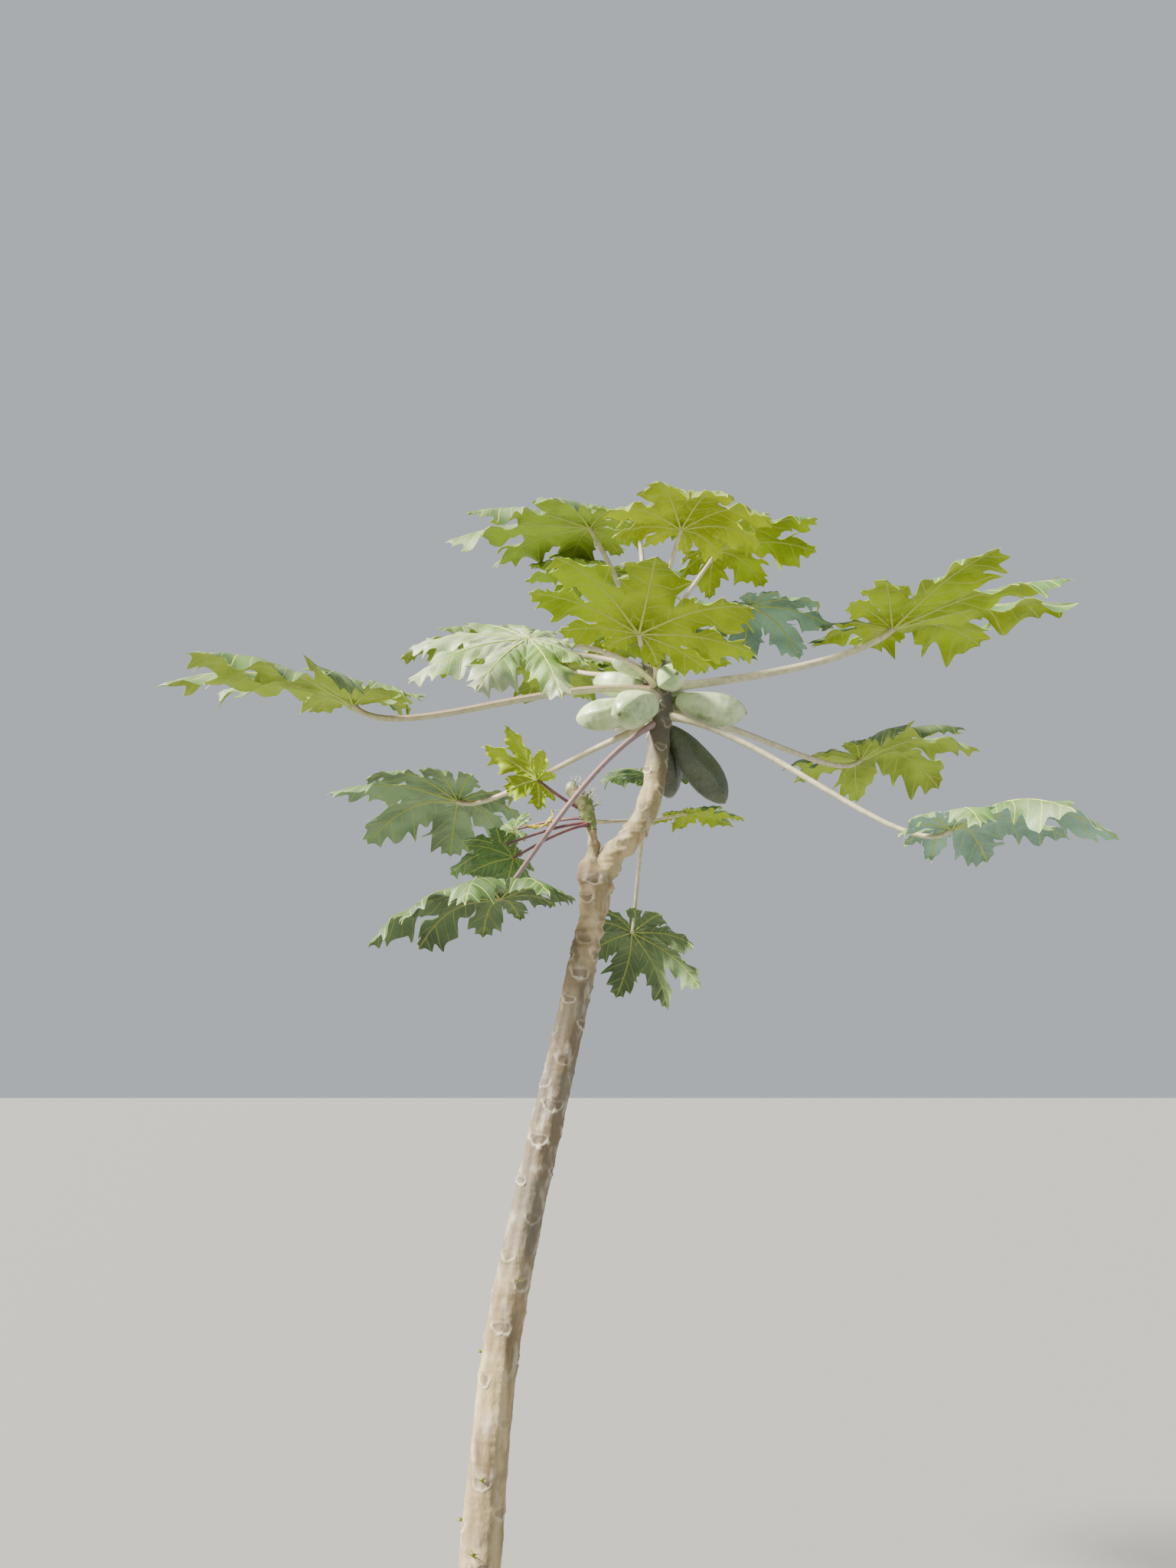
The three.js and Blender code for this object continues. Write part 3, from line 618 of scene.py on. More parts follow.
def bark_relief(along, angle, radius, scars, bark, spot):
    """Height of the bark over the smooth limb, and how far the spot is on a rim or in a scar."""
    height = rim_mark = scar_mark = 0.0
    knobby = 0.6 + 1.1 * smoothstep(spot.z, *SWELLINGS_GROW)
    ragged = 0.5 * noise.noise(spot * 70)
    finely_ragged = 0.25 * noise.noise(spot * 160)
    for scar in scars:
        up = (along - scar.along) / scar.height
        if abs(up) > SCAR_REACH:
            continue
        turn = (angle - scar.angle + math.pi) % (2 * math.pi) - math.pi
        across = turn * radius / scar.width + 0.5 * (scar.strength - 0.7) * up
        bowed = up - 0.55 * across * across + 0.3
        reach = math.hypot(across, bowed) + ragged + finely_ragged
        rim = hump(reach, 1, 0.2) * (0.25 + 0.75 * smoothstep(-bowed, -0.5, 0.5))
        inside = 1 - smoothstep(reach, 0.62, 0.92)
        bud = math.exp(-(across**2 + (up - BUD_SEAT) ** 2) / 0.07)
        bulge = math.exp(-across * across / 3.4 - up * up / 5)
        trail = math.exp(-across * across / 0.4) * smoothstep(-up, 0.8, 2)
        trail *= 1 - smoothstep(-up, 2, SCAR_REACH)
        lift = bark.rim_height * rim - bark.scar_depth * inside + bark.bud * bud
        height += scar.strength * (lift + knobby * bark.bulge * (bulge + 0.35 * trail))
        rim_mark = max(rim_mark, rim * scar.strength)
        scar_mark = max(scar_mark, max(inside, bud) * scar.strength)
    fluted = 1 - 0.85 * smoothstep(spot.z, *FLUTES_FADE)
    sway = 3 * noise.noise(Vector((0, 0, along * 2)))
    flutes = math.cos(FLUTES * angle + sway) + 0.4 * math.cos(FINE_FLUTES * angle - 2 * sway)
    height += fluted * bark.flute_depth * flutes
    height += bark.grain_depth * noise.fractal(spot * 30, 1.0, 2.0, 3)
    folds = smoothstep(spot.z, *FOLDS_BEGIN) * (1 - smoothstep(spot.z, *FOLDS_END))
    height += bark.fold_depth * folds * noise.noise(Vector((spot.x * 14, spot.y * 14, spot.z * 48)))
    wrinkles = noise.noise(Vector((spot.x * 12, spot.y * 12, spot.z * 120)))
    height += bark.wrinkle_depth * (1 + 2 * folds) * wrinkles
    return height, min(1.0, rim_mark), min(1.0, scar_mark)


# The height in metres that the bark's marks count as 1.
TOP = 3.0


def add_bark(bm, limb, bark):
    """Adds a limb with bark relief and marks where its scars are."""
    marks = bm.verts.layers.float_color.new("marks")
    side = Vector((0, 1, 0))
    columns, rows = limb.columns, limb.rows
    total = limb.line.lengths[-1]
    scars = scars_along(limb, bark)
    rings = []
    for row in range(rows + 1):
        share = row / rows
        point, direction = limb.line.at(share)
        if row == 0 and point.z == 0:
            direction = Vector((0, 0, 1))
        near = [scar for scar in scars if abs(scar.along - share * total) < SCAR_REACH * scar.height]
        rings.append((point, direction, near))

    def shape(u, v):
        """The place of one point, and its marks: on a rim, in a scar, and its height."""
        point, direction, near = rings[round(v * rows)]
        over = side.cross(direction).normalized()
        angle = 2 * math.pi * (round(u * columns) % columns) / columns
        outward = math.cos(angle) * over + math.sin(angle) * side
        radius = limb.width_at(v, point) / 2
        spot = point + radius * outward
        height, rim, scar = bark_relief(v * total, angle, radius, near, bark, spot)
        return point + (radius + height) * outward, (rim, scar, point.z / TOP, 1)

    for vert in add_sheet(bm, columns, rows, lambda u, v: Vector((u, v, 0))):
        vert.co, vert[marks] = shape(vert.co.x, vert.co.y)


# Heights in metres between which painted shade turns the bark grey, then pale again, high first, and then
# painted shade turns it dark brown.
SHADE_GREY_FROM, SHADE_GREY_TO = (0.9, 1.25), (1.95, 1.6)
SHADE_BROWN_FROM = (2.22, 2.42)


def bark_finish(name, bark, greenness):
    """Bark with corky rims, dark scars, streaks, patches partly of painted dappled shade, green where
    it is young, and painted shade: grey half way up the trunk, dark brown up the crown stem.
    """
    look = Finish(name, roughness=0.78)
    streaks = look.cloud(24, 5, (1, 1, 0.2))
    patches = look.cloud(9, 5)
    blotches = look.cloud(34, 4, (1, 1, 0.45))
    grain = look.cloud(190, 4, (1, 1, 0.45))
    specks = look.cloud(300, 2)
    height_at = look.marks("Blue")

    def between(low, high):
        return look.band(height_at, low / TOP, high / TOP)

    # Painted shade: dark grey half way up the trunk, where the crown's shadow falls.
    grey = look.times(between(*SHADE_GREY_FROM), between(*SHADE_GREY_TO))
    base = look.blend(look.band(streaks, 0.4, 0.7), bark.pale, bark.dark)
    base = look.cover(base, grey, 0.85, bark.grey)
    # Dark patches: partly the bark's own, partly painted dappled shade of the leaves.
    base = look.cover(base, look.band(patches, 0.45, 0.58), 0.6, bark.dark)
    base = look.cover(base, look.band(blotches, 0.5, 0.72), 0.4, bark.rim)
    # Painted shade: the crown stem turns dark brown from under its fruits upwards, where leaves and fruits
    # shade it.
    base = look.cover(base, between(*SHADE_BROWN_FROM), 0.85, bark.brown)
    young = look.times(look.band(patches, 0.4, 0.6), greenness)
    base = look.blend(look.plus(young, greenness * 0.35), base, bark.green)
    base = look.cover(base, look.marks("Red"), 0.8, bark.rim)
    base = look.cover(base, look.marks("Green"), 0.6, bark.scar)
    base = look.cover(base, look.band(specks, 0.64, 0.74), 0.6, bark.scar)
    height = look.plus(grain, look.times(streaks, 0.6))
    return look.dress(base, height, 0.6, 0.0014)


def tooth_table(rows, seed, item):
    """The edge of one side of a lobe, with teeth that differ a little from the rule."""
    changes = [1 + swing(seed, item + index, 0.36) for index in range(len(rows))]
    return [(along, out * change) for (along, out), change in zip(rows, changes)]


def read_edge(table, share):
    """How far the blade runs out along a vein: rounded in the notches, pointed at the teeth."""
    for (low, first), (high, second) in zip(table, table[1:]):
        if share <= high:
            step = (share - low) / (high - low)
            if second >= first:
                return first + (second - first) * step**TOOTH_POINT
            return second + (first - second) * (1 - step) ** TOOTH_POINT
    return 0.0


Lobe = namedtuple("Lobe", "angle length bend twist edges veins")


def blade_lobes(leaf, seed):
    """The lobes of a blade by the plant's own rule, in order round the hub."""
    large = leaf.blade > SMALLEST_LARGE_BLADE
    lobes = []
    for degrees, share in LARGE_LOBES if large else SMALL_LOBES:
        for side in (1,) if degrees == 0 else (-1, 1):
            k = len(lobes)
            long = large and share > LONG_EDGE_FROM
            rows = LONG_EDGE if long else SHORT_EDGE
            lobes.append(
                Lobe(
                    math.radians(side * degrees + swing(seed, k + 20, 5)),
                    leaf.blade * share * (1 + swing(seed, k + 40, 0.16)),
                    math.radians(leaf.droop * (1 + swing(seed, k, 0.6))),
                    math.radians(leaf.twist * swing(seed, k + 80, 2)),
                    [tooth_table(rows, seed, 100 + 40 * k + 20 * half) for half in (0, 1)],
                    LONG_VEINS if long else SHORT_VEINS,
                )
            )
    return sorted(lobes, key=lambda lobe: lobe.angle)


class Blade:
    """One leaf's blade: flat places on its lobes, and the bent shape that they take."""

    # Edge waves along a lobe, and how far from the midrib, as a share of the lobe, they are full.
    WAVES = 3.4
    WAVE_FULL = 0.16
    FOLD_ROUNDING = 0.004
    # The longest lobe that the ribs' width and the shortest side vein are given for.
    MODEL_LOBE = 0.48
    SHORTEST_VEIN = 0.012
    # How far the midrib runs to the tip, and a side vein to the edge.
    MIDRIB_REACH = 0.97
    VEIN_REACH = 0.92
    # Sides and rows of their tubes, and the width of their tips and their depth by the width.
    MIDRIB_FACES, VEIN_FACES = (6, 26), (4, 6)
    RIB_TIP, RIB_DEPTH = 0.22, 1.15
    # The width of a side vein by that of its midrib, at the hub.
    VEIN_WIDTH = 0.42

    def __init__(self, leaf, seed, looks):
        self.leaf = leaf
        self.seed = seed
        self.looks = looks
        self.lobes = blade_lobes(leaf, seed)
        self.step = leaf.blade / ROWS_PER_BLADE
        self.cup = math.radians(leaf.cup)

    def neighbour(self, index, side):
        """The next lobe on one side and half the angle to it, or half the notch at the stalk."""
        other = index + side
        lobe = self.lobes[index]
        if 0 <= other < len(self.lobes):
            return self.lobes[other], abs(self.lobes[other].angle - lobe.angle) / 2
        return None, math.pi - abs(lobe.angle)

    def run_out(self, index, side, along):
        """How far the blade runs out from the midrib along the vein that leaves it there."""
        lobe = self.lobes[index]
        other, half = self.neighbour(index, side)
        edge = lobe.length * read_edge(lobe.edges[side > 0], along / lobe.length)
        if half >= VEIN_ANGLE * 0.98:
            return edge
        meeting = along * math.sin(half) / math.sin(VEIN_ANGLE - half)
        if other is None:
            return min(edge, SLIT * meeting)
        sinus = SINUS * min(lobe.length, other.length)
        if along <= sinus * math.sin(VEIN_ANGLE - half) / math.sin(VEIN_ANGLE):
            return meeting
        return min(edge, SLIT * meeting)

    def vein_number(self, lobe, along):
        """Counts the side veins from the hub: a whole number where one leaves the midrib."""
        rows = [(share, number) for number, share in enumerate(lobe.veins)]
        return along_table(rows, min(along / lobe.length, 1.0))

    def flat(self, index, side, along, out):
        """A flat place: out from the midrib along the side vein that leaves it at along."""
        lobe = self.lobes[index]
        forward = along + out * math.cos(VEIN_ANGLE)
        across = side * out * math.sin(VEIN_ANGLE)
        return Vector(
            (
                forward * math.cos(lobe.angle) - across * math.sin(lobe.angle),
                forward * math.sin(lobe.angle) + across * math.cos(lobe.angle),
                0,
            )
        )

    def bend(self, index, spot):
        """Where a flat place of a lobe comes to lie on the cupped, folded and twisted blade."""
        lobe = self.lobes[index]
        reach = math.hypot(spot.x, spot.y)
        if reach < 1e-7:
            return Vector((0, 0, spot.z))
        angle = math.atan2(spot.y, spot.x)
        turn = (angle - lobe.angle + math.pi) % (2 * math.pi) - math.pi
        other, half = self.neighbour(index, 1 if turn > 0 else -1)
        bend, length = lobe.bend, lobe.length
        if other is not None:
            share = 0.5 * smoothstep(abs(turn), 0, half)
            bend = lerp(bend, other.bend, share)
            length = lerp(length, other.length, share)
        hub = HUB * length
        rate = bend / (length - hub)
        slope = self.cup - max(0.0, reach - hub) * rate
        level = min(reach, hub)
        out = level * math.cos(self.cup) + (math.sin(self.cup) - math.sin(slope)) / rate
        up = level * math.sin(self.cup) + (math.cos(slope) - math.cos(self.cup)) / rate
        across = reach * math.sin(turn)
        along = reach * math.cos(turn)
        share = along / lobe.length
        free = smoothstep(share, SINUS, 1.0)
        twist = lobe.twist * free
        edge = min(1.0, abs(across) / (self.WAVE_FULL * lobe.length))
        start = self.WAVES * share + chance(self.seed, index + 700)
        wave = math.sin(2 * math.pi * (start + (0.4 if turn > 0 else 0)))
        wave *= self.looks.wave * lobe.length * edge * edge * smoothstep(share, 0.3, 0.5)
        fold = FOLD * (math.hypot(across, self.FOLD_ROUNDING) - self.FOLD_ROUNDING)
        radial = Vector((math.cos(angle), math.sin(angle), 0))
        side = Vector((-math.sin(angle), math.cos(angle), 0))
        normal = -math.sin(slope) * radial + Vector((0, 0, math.cos(slope)))
        lift = spot.z - fold + wave + across * math.sin(twist)
        sideways = across * (math.cos(twist) - 1)
        return out * radial + Vector((0, 0, up)) + lift * normal + sideways * side

    def add_lobe(self, bm, index, lobe_of):
        lobe = self.lobes[index]
        rows = round(lobe.length / self.step)
        steps = [min(row * self.step, lobe.length) for row in range(rows + 1)]
        outs = {side: [self.run_out(index, side, along) for along in steps] for side in (-1, 1)}

        def split(u, v):
            row = round(v * rows)
            across = 2 * u - 1
            side = 1 if across > 0 else -1
            out = abs(across) * outs[side][row] if row < rows else 0.0
            return row, side, steps[row], out

        def place(u, v):
            row, side, along, out = split(u, v)
            spot = self.flat(index, side, along, out)
            if 0 < row < rows:
                puff = math.sin(math.pi * (self.vein_number(lobe, along) % 1)) ** 2
                across = abs(2 * u - 1)
                spot.z = self.looks.quilt * puff * 4 * across * (1 - across)
            return spot

        def mark(u, v):
            _, side, along, out = split(u, v)
            return self.vein_number(lobe, along), side * out * VEIN_MAP_SCALE

        for vert in add_sheet(bm, COLUMNS, rows, place, mark):
            vert[lobe_of] = index

    def add_rib(self, bm, index, side, start, reach, width, lobe_of):
        """Adds a rib under the blade: a midrib where side is 0, or else a side vein."""
        sides, rows = self.VEIN_FACES if side else self.MIDRIB_FACES
        direction = self.lobes[index].angle + side * VEIN_ANGLE
        foot = self.flat(index, 1, start, 0)
        ahead = Vector((math.cos(direction), math.sin(direction), 0))
        points = [foot + ahead * reach * row / rows for row in range(rows + 1)]
        drop = Vector((0, 0, self.looks.thickness * 0.5))

        def radius_at(share, turn):
            return width / 2 * lerp(1, self.RIB_TIP, share)

        across = Vector((-ahead.y, ahead.x, 0))
        for vert in add_tube(bm, [point - drop for point in points], across, radius_at, sides):
            vert[lobe_of] = index
            vert.co.z *= self.RIB_DEPTH

    def build(self):
        bm = bmesh.new()
        lobe_of = bm.verts.layers.int.new("lobe")
        for index in range(len(self.lobes)):
            self.add_lobe(bm, index, lobe_of)
        bmesh.ops.remove_doubles(bm, verts=bm.verts, dist=self.step / 20)
        for face in bm.faces:
            if face.normal.z < 0:
                face.normal_flip()
        bm.normal_update()
        bmesh.ops.solidify(bm, geom=bm.faces, thickness=self.looks.thickness)
        bm.normal_update()
        for face in bm.faces:
            face.material_index = 0 if face.normal.z > RIM_SLOPE else 1
            if abs(face.normal.z) < RIM_SLOPE:
                for edge in face.edges:
                    edge.smooth = False
        sheets = set(bm.faces)
        sheet_verts = set(bm.verts)
        shortest = self.SHORTEST_VEIN * (self.leaf.blade / self.MODEL_LOBE)
        for index, lobe in enumerate(self.lobes):
            width = self.looks.rib_width * (lobe.length / self.MODEL_LOBE) ** 0.7
            self.add_rib(bm, index, 0, 0, self.MIDRIB_REACH * lobe.length, width, lobe_of)
            for share in lobe.veins[1:-1]:
                for side in (-1, 1):
                    along = share * lobe.length
                    out = self.run_out(index, side, along) * self.VEIN_REACH
                    if out > shortest:
                        vein = width * self.VEIN_WIDTH * (1 - 0.5 * share)
                        self.add_rib(bm, index, side, along, out, vein, lobe_of)
        for face in bm.faces:
            if face not in sheets:
                face.material_index = 2
        rib_verts = [vert for vert in bm.verts if vert not in sheet_verts]
        bmesh.ops.remove_doubles(bm, verts=rib_verts, dist=RIB_WELD)
        for vert in bm.verts:
            vert.co = self.bend(vert[lobe_of], vert.co)
        bmesh.ops.holes_fill(bm, edges=[edge for edge in bm.edges if edge.is_boundary], sides=0)
        bmesh.ops.recalc_face_normals(bm, faces=bm.faces)
        bm.verts.layers.int.remove(lobe_of)
        return bm


def leaf_frame(leaf, line):
    return seat(line.at_height(leaf.foot), leaf.azimuth, 0)


def blade_frame(leaf, line):
    turns = turned("Z", leaf.turn) @ turned("Y", -leaf.pitch) @ turned("X", leaf.roll)
    return leaf_frame(leaf, line) @ Matrix.Translation((leaf.reach, 0, leaf.height - leaf.foot)) @ turns


# How far a stalk keeps the directions of its foot and of its end, as shares of its length, how far
# its foot reaches from the stem's axis, as a share of the stem's width, and its faces.
FOOT_HOLD, END_HOLD = 0.36, 0.18
FOOT_REACH = 0.55 / 2
STALK_ROWS, STALK_SIDES = 44, 18


def stalk_points(leaf, stem_width):
    def slope(degrees):
        return Vector((math.cos(math.radians(degrees)), 0, math.sin(math.radians(degrees))))

    start = Vector((stem_width * FOOT_REACH, 0, 0))
    end = Vector((leaf.reach, 0, leaf.height - leaf.foot))
    length = (end - start).length
    first = start + slope(leaf.climb) * length * FOOT_HOLD
    second = end - slope(leaf.hook) * length * END_HOLD
    return geometry.interpolate_bezier(start, first, second, end, STALK_ROWS + 1)


def add_stalk(bm, leaf, stem_width):
    """Adds a stalk: clasping foot, long even middle, and a swelling under the blade."""
    middle = 0.003 + 0.037 * leaf.blade

    def radius_at(share, turn):
        clasp = 0.35 * (1 - smoothstep(share, 0, 0.12)) + 0.4 * (1 - smoothstep(share, 0, 0.035))
        width = middle * lerp(1, 0.7, share) * (1 + clasp)
        width *= 1 + 0.3 * smoothstep(share, 0.955, 1.0)
        return width / 2 * (1 + 0.025 * math.cos(9 * turn))

    add_tube(bm, stalk_points(leaf, stem_width), Vector((0, 1, 0)), radius_at, STALK_SIDES)


def vein_mask(look, side_width, rib_width):
    """1 on the midrib and the side veins, fading to 0 beside them."""
    number = look.sheet_place("X")
    out = look.math("ABSOLUTE", look.sheet_place("Y"))
    nearest = look.from_half(look.plus(number, 0.5))
    between = look.from_half(number)
    side = look.band(nearest, side_width, side_width * 0.2)
    minor = look.times(look.band(between, side_width * 0.7, side_width * 0.1), 0.5)
    midrib = look.band(out, rib_width, rib_width * 0.35)
    return look.math("MAXIMUM", midrib, look.math("MAXIMUM", side, minor))


# Each tint: brightness of the upper and under sides, and the shares of painted sheen (pale patches for
# the sky's reflection on the waxy upper side), of yellow and of painted shade (the cool green that the
# under side of a leaf in the shade shows). Tint 2 is a lit copy with strong painted sheen; tints 3, 5, 6
# and 7 are shaded copies, with cooler under sides that are much darker in 3 and 6.
LeafTint = namedtuple("LeafTint", "upper under wax yellow cool")
LEAF_TINTS_LIT_AND_SHADED = [
    LeafTint(1.1, 1.0, 0.08, 0.0, 0.0),
    LeafTint(1.1, 0.95, 0.22, 0.03, 0.08),
    LeafTint(1.5, 1.0, 0.8, 0.05, 0.1),
    LeafTint(0.75, 0.36, 0.06, 0.0, 0.4),
    LeafTint(1.25, 1.15, 0.08, 0.2, 0.0),
    LeafTint(1.2, 0.95, 0.3, 0.0, 0.7),
    LeafTint(1.0, 0.62, 0.14, 0.0, 0.45),
    LeafTint(1.2, 0.85, 0.08, 0.0, 0.3),
]
# Painted sheen: a pale colour laid on the upper side for the sky's glossy reflection.
PAINTED_SHEEN = (0.36, 0.41, 0.27)
# The net of the finest veins in meshes a metre, and the height of a leaf's relief in metres.
NET_SCALE = 125
LEAF_RELIEF = 0.0012


def leaf_finishes(looks):
    """Three materials for each tint: upper side, under side and ribs."""
    finishes = []
    for number, tint in enumerate(LEAF_TINTS_LIT_AND_SHADED):
        title = f"papaya leaf {{}} {number}"
        top = Finish(title.format("upper"), roughness=0.48, coat_weight=0.08, coat_roughness=0.35)
        colour = mixed(shade(looks.upper, tint.upper), looks.yellowed, tint.yellow)
        mottle = top.band(top.cloud(14, 4), 0.35, 0.7)
        net = top.net(NET_SCALE, 0.1)
        veins = vein_mask(top, 0.05, 0.035)
        base = top.blend(mottle, shade(colour, 0.85), shade(colour, 1.25))
        # Painted sheen: pale patches on the upper side stand for the sky's reflection.
        base = top.cover(base, top.band(top.cloud(9, 3), 0.35, 0.65), tint.wax, PAINTED_SHEEN)
        base = top.cover(base, net, 0.12, shade(colour, 1.7))
        base = top.cover(base, veins, 0.7, looks.vein)
        relief = top.less(top.times(net, -0.6), top.times(veins, 1.4))
        upper_side = top.dress(base, relief, 0.4, LEAF_RELIEF)

        low = Finish(title.format("under"), roughness=0.65, specular_ior_level=0.25)
        # Painted shade: the under side is mixed towards a cool green for leaves in shade, and shaded tints
        # darken it.
        colour = mixed(mixed(looks.under, looks.cool, tint.cool), looks.yellowed, tint.yellow)
        colour = shade(colour, tint.under)
        mottle = low.band(low.cloud(7, 4), 0.32, 0.66)
        net = low.net(NET_SCALE, 0.12)
        veins = vein_mask(low, 0.045, 0.05)
        base = low.blend(mottle, shade(colour, 0.6), shade(colour, 1.22))
        base = low.cover(base, net, 0.2, shade(colour, 1.45))
        base = low.cover(base, veins, 0.75, shade(looks.vein, 0.5 + 0.5 * tint.under))
        relief = low.plus(veins, low.times(net, 0.4))
        under_side = low.dress(base, relief, 0.45, LEAF_RELIEF)

        colour = shade(looks.vein, 0.4 + 0.6 * tint.under)
        ribs = clouded_finish(title.format("rib"), 0.5, (160, 3), colour, (0.85, 1.15), 0.3, 0.0006)
        finishes.append((upper_side, under_side, ribs))
    return finishes


# Fine lines round a stalk.
STALK_LINES = 14


def stalk_finish(name, body, flush, strength):
    """A smooth stalk with long fine streaks and a flush of colour along its upper side."""
    look = Finish(name, roughness=0.45, coat_weight=0.1, coat_roughness=0.4)
    round_it = look.sheet_place("X")
    top = look.from_half(look.plus(round_it, 0.25))
    streaks = look.cloud(60, 4)
    sunny = look.times(look.band(top, 0.3, 0.08), strength)
    flecks = look.times(look.band(streaks, 0.5, 0.75), strength * 0.4)
    sunny = look.plus(sunny, flecks)
    base = look.blend(look.band(streaks, 0.35, 0.7), shade(body, 0.85), shade(body, 1.18))
    base = look.blend(sunny, base, flush)
    lines = look.math("SINE", look.times(round_it, 2 * math.pi * STALK_LINES))
    return look.dress(base, look.plus(lines, look.cloud(120, 3)), 0.25, 0.0006)


# Each kind of stalk: its body's colour, and how strong the flush on its sunny side is.
STALKS = {
    "pale": ("pale_stalk", 0.25),
    "pink": ("pale_stalk", 0.85),
    "lilac": ("lilac_stalk", 0.5),
    "purple": ("purple_stalk", 0.3),
}


def build_leaves(rows, line, stem_width, first_seed, looks):
    """Makes a blade, which stands for the leaf's solid, and a stalk for each row."""
    finishes = leaf_finishes(looks)
    stalks = {
        kind: stalk_finish(f"papaya stalk {kind}", getattr(looks, body), looks.pink_stalk, flush)
        for kind, (body, flush) in STALKS.items()
    }
    for number, leaf in enumerate(rows):
        bm = Blade(leaf, first_seed + number, looks).build()
        bmesh.ops.transform(bm, matrix=blade_frame(leaf, line), verts=bm.verts)
        finish_piece(bm, leaf.name + "_blade", finishes[leaf.tint], "leaf", [leaf.name])
        bm = bmesh.new()
        add_stalk(bm, leaf, stem_width)
        close_up(bm)
        bmesh.ops.transform(bm, matrix=leaf_frame(leaf, line), verts=bm.verts)
        finish_piece(bm, leaf.name + "_petiole", [stalks[leaf.stalk]], "petiole")


def build_limb(node, bark):
    """Makes the bark of one limb, which stands for the limb's solid."""
    limb = LIMBS[node]
    bm = bmesh.new()
    add_bark(bm, limb, bark)
    for vert in bm.verts:
        vert.co.z = max(vert.co.z, 0.0)
    close_up(bm)
    look = bark_finish(f"papaya {node} bark", bark, limb.green)
    finish_piece(bm, node + "_bark", [look], limb.slot, [node])


class PAPAYA_OT_trunk(bpy.types.Operator):
    """Add the trunk with its bark, flare, flutes and leaf scars"""

    bl_idname = "papaya.trunk"
    bl_label = "Trunk"

    def execute(self, context):
        build_limb("trunk", context.scene.papaya_bark)
        return {"FINISHED"}


class PAPAYA_OT_crown_stem(bpy.types.Operator):
    """Add the crown stem, with the close leaf scars between its fruits"""

    bl_idname = "papaya.crown_stem"
    bl_label = "Crown Stem"

    def execute(self, context):
        build_limb("crown_stem", context.scene.papaya_bark)
        return {"FINISHED"}


class PAPAYA_OT_side_shoot(bpy.types.Operator):
    """Add the green side shoot on the old leader's stub"""

    bl_idname = "papaya.side_shoot"
    bl_label = "Side Shoot"

    def execute(self, context):
        build_limb("side_shoot", context.scene.papaya_bark)
        return {"FINISHED"}


class PAPAYA_OT_leaves(bpy.types.Operator):
    """Add the leaves of the crown, each a lobed blade on its long stalk"""

    bl_idname = "papaya.leaves"
    bl_label = "Crown Leaves"

    def execute(self, context):
        looks = context.scene.papaya_foliage
        build_leaves(CROWN_LEAVES, crown_stem_line, CROWN_STEM_WIDTH, CROWN_SEED, looks)
        return {"FINISHED"}


class PAPAYA_OT_shoot_leaves(bpy.types.Operator):
    """Add the small leaves of the side shoot"""

    bl_idname = "papaya.shoot_leaves"
    bl_label = "Shoot Leaves"

    def execute(self, context):
        looks = context.scene.papaya_foliage
        build_leaves(SHOOT_LEAVES, shoot_line, SHOOT_WIDTH, SHOOT_SEED, looks)
        return {"FINISHED"}


def fruit_finish(name, looks, brightness, bloom):
    """Green skin under a pale bloom, with soft clouds and a few darker rubbed patches."""
    look = Finish(name, roughness=0.36, coat_weight=0.12, coat_roughness=0.3)
    clouds = look.cloud(13, 4)
    fine = look.cloud(70, 4)
    rubbed = look.band(look.cloud(31, 3), 0.56, 0.68)
    dots = look.band(look.cells(260), 0.05, 0.16)
    skin = shade(looks.skin, brightness)
    hazy = look.plus(clouds, look.times(fine, 0.3))
    base = look.blend(look.band(clouds, 0.3, 0.7), shade(skin, 0.8), shade(skin, 1.25))
    base = look.cover(base, look.band(hazy, 0.4, 0.8), bloom, looks.bloom)
    base = look.cover(base, rubbed, 0.45, shade(skin, 0.75))
    base = look.cover(base, look.less(1.0, dots), 0.1, looks.bloom)
    return look.dress(base, look.plus(fine, look.times(clouds, 0.5)), 0.25, 0.0008)


# Each green of fruit: brightness of its skin, and how much bloom lies on it. The third is painted
# shade: a near-black copy of the skin for the fruits that hang in shade.
FRUIT_TINTS_AND_SHADE = [(1.1, 0.9), (1.35, 1.0), (0.08, 0.05)]
FRUIT_COLUMNS, FRUIT_ROWS = 60, 56
# The shares of a fruit's length before and after which it has its stalk's finish.
STALK_END, BLOSSOM_END = 0.1, 0.988


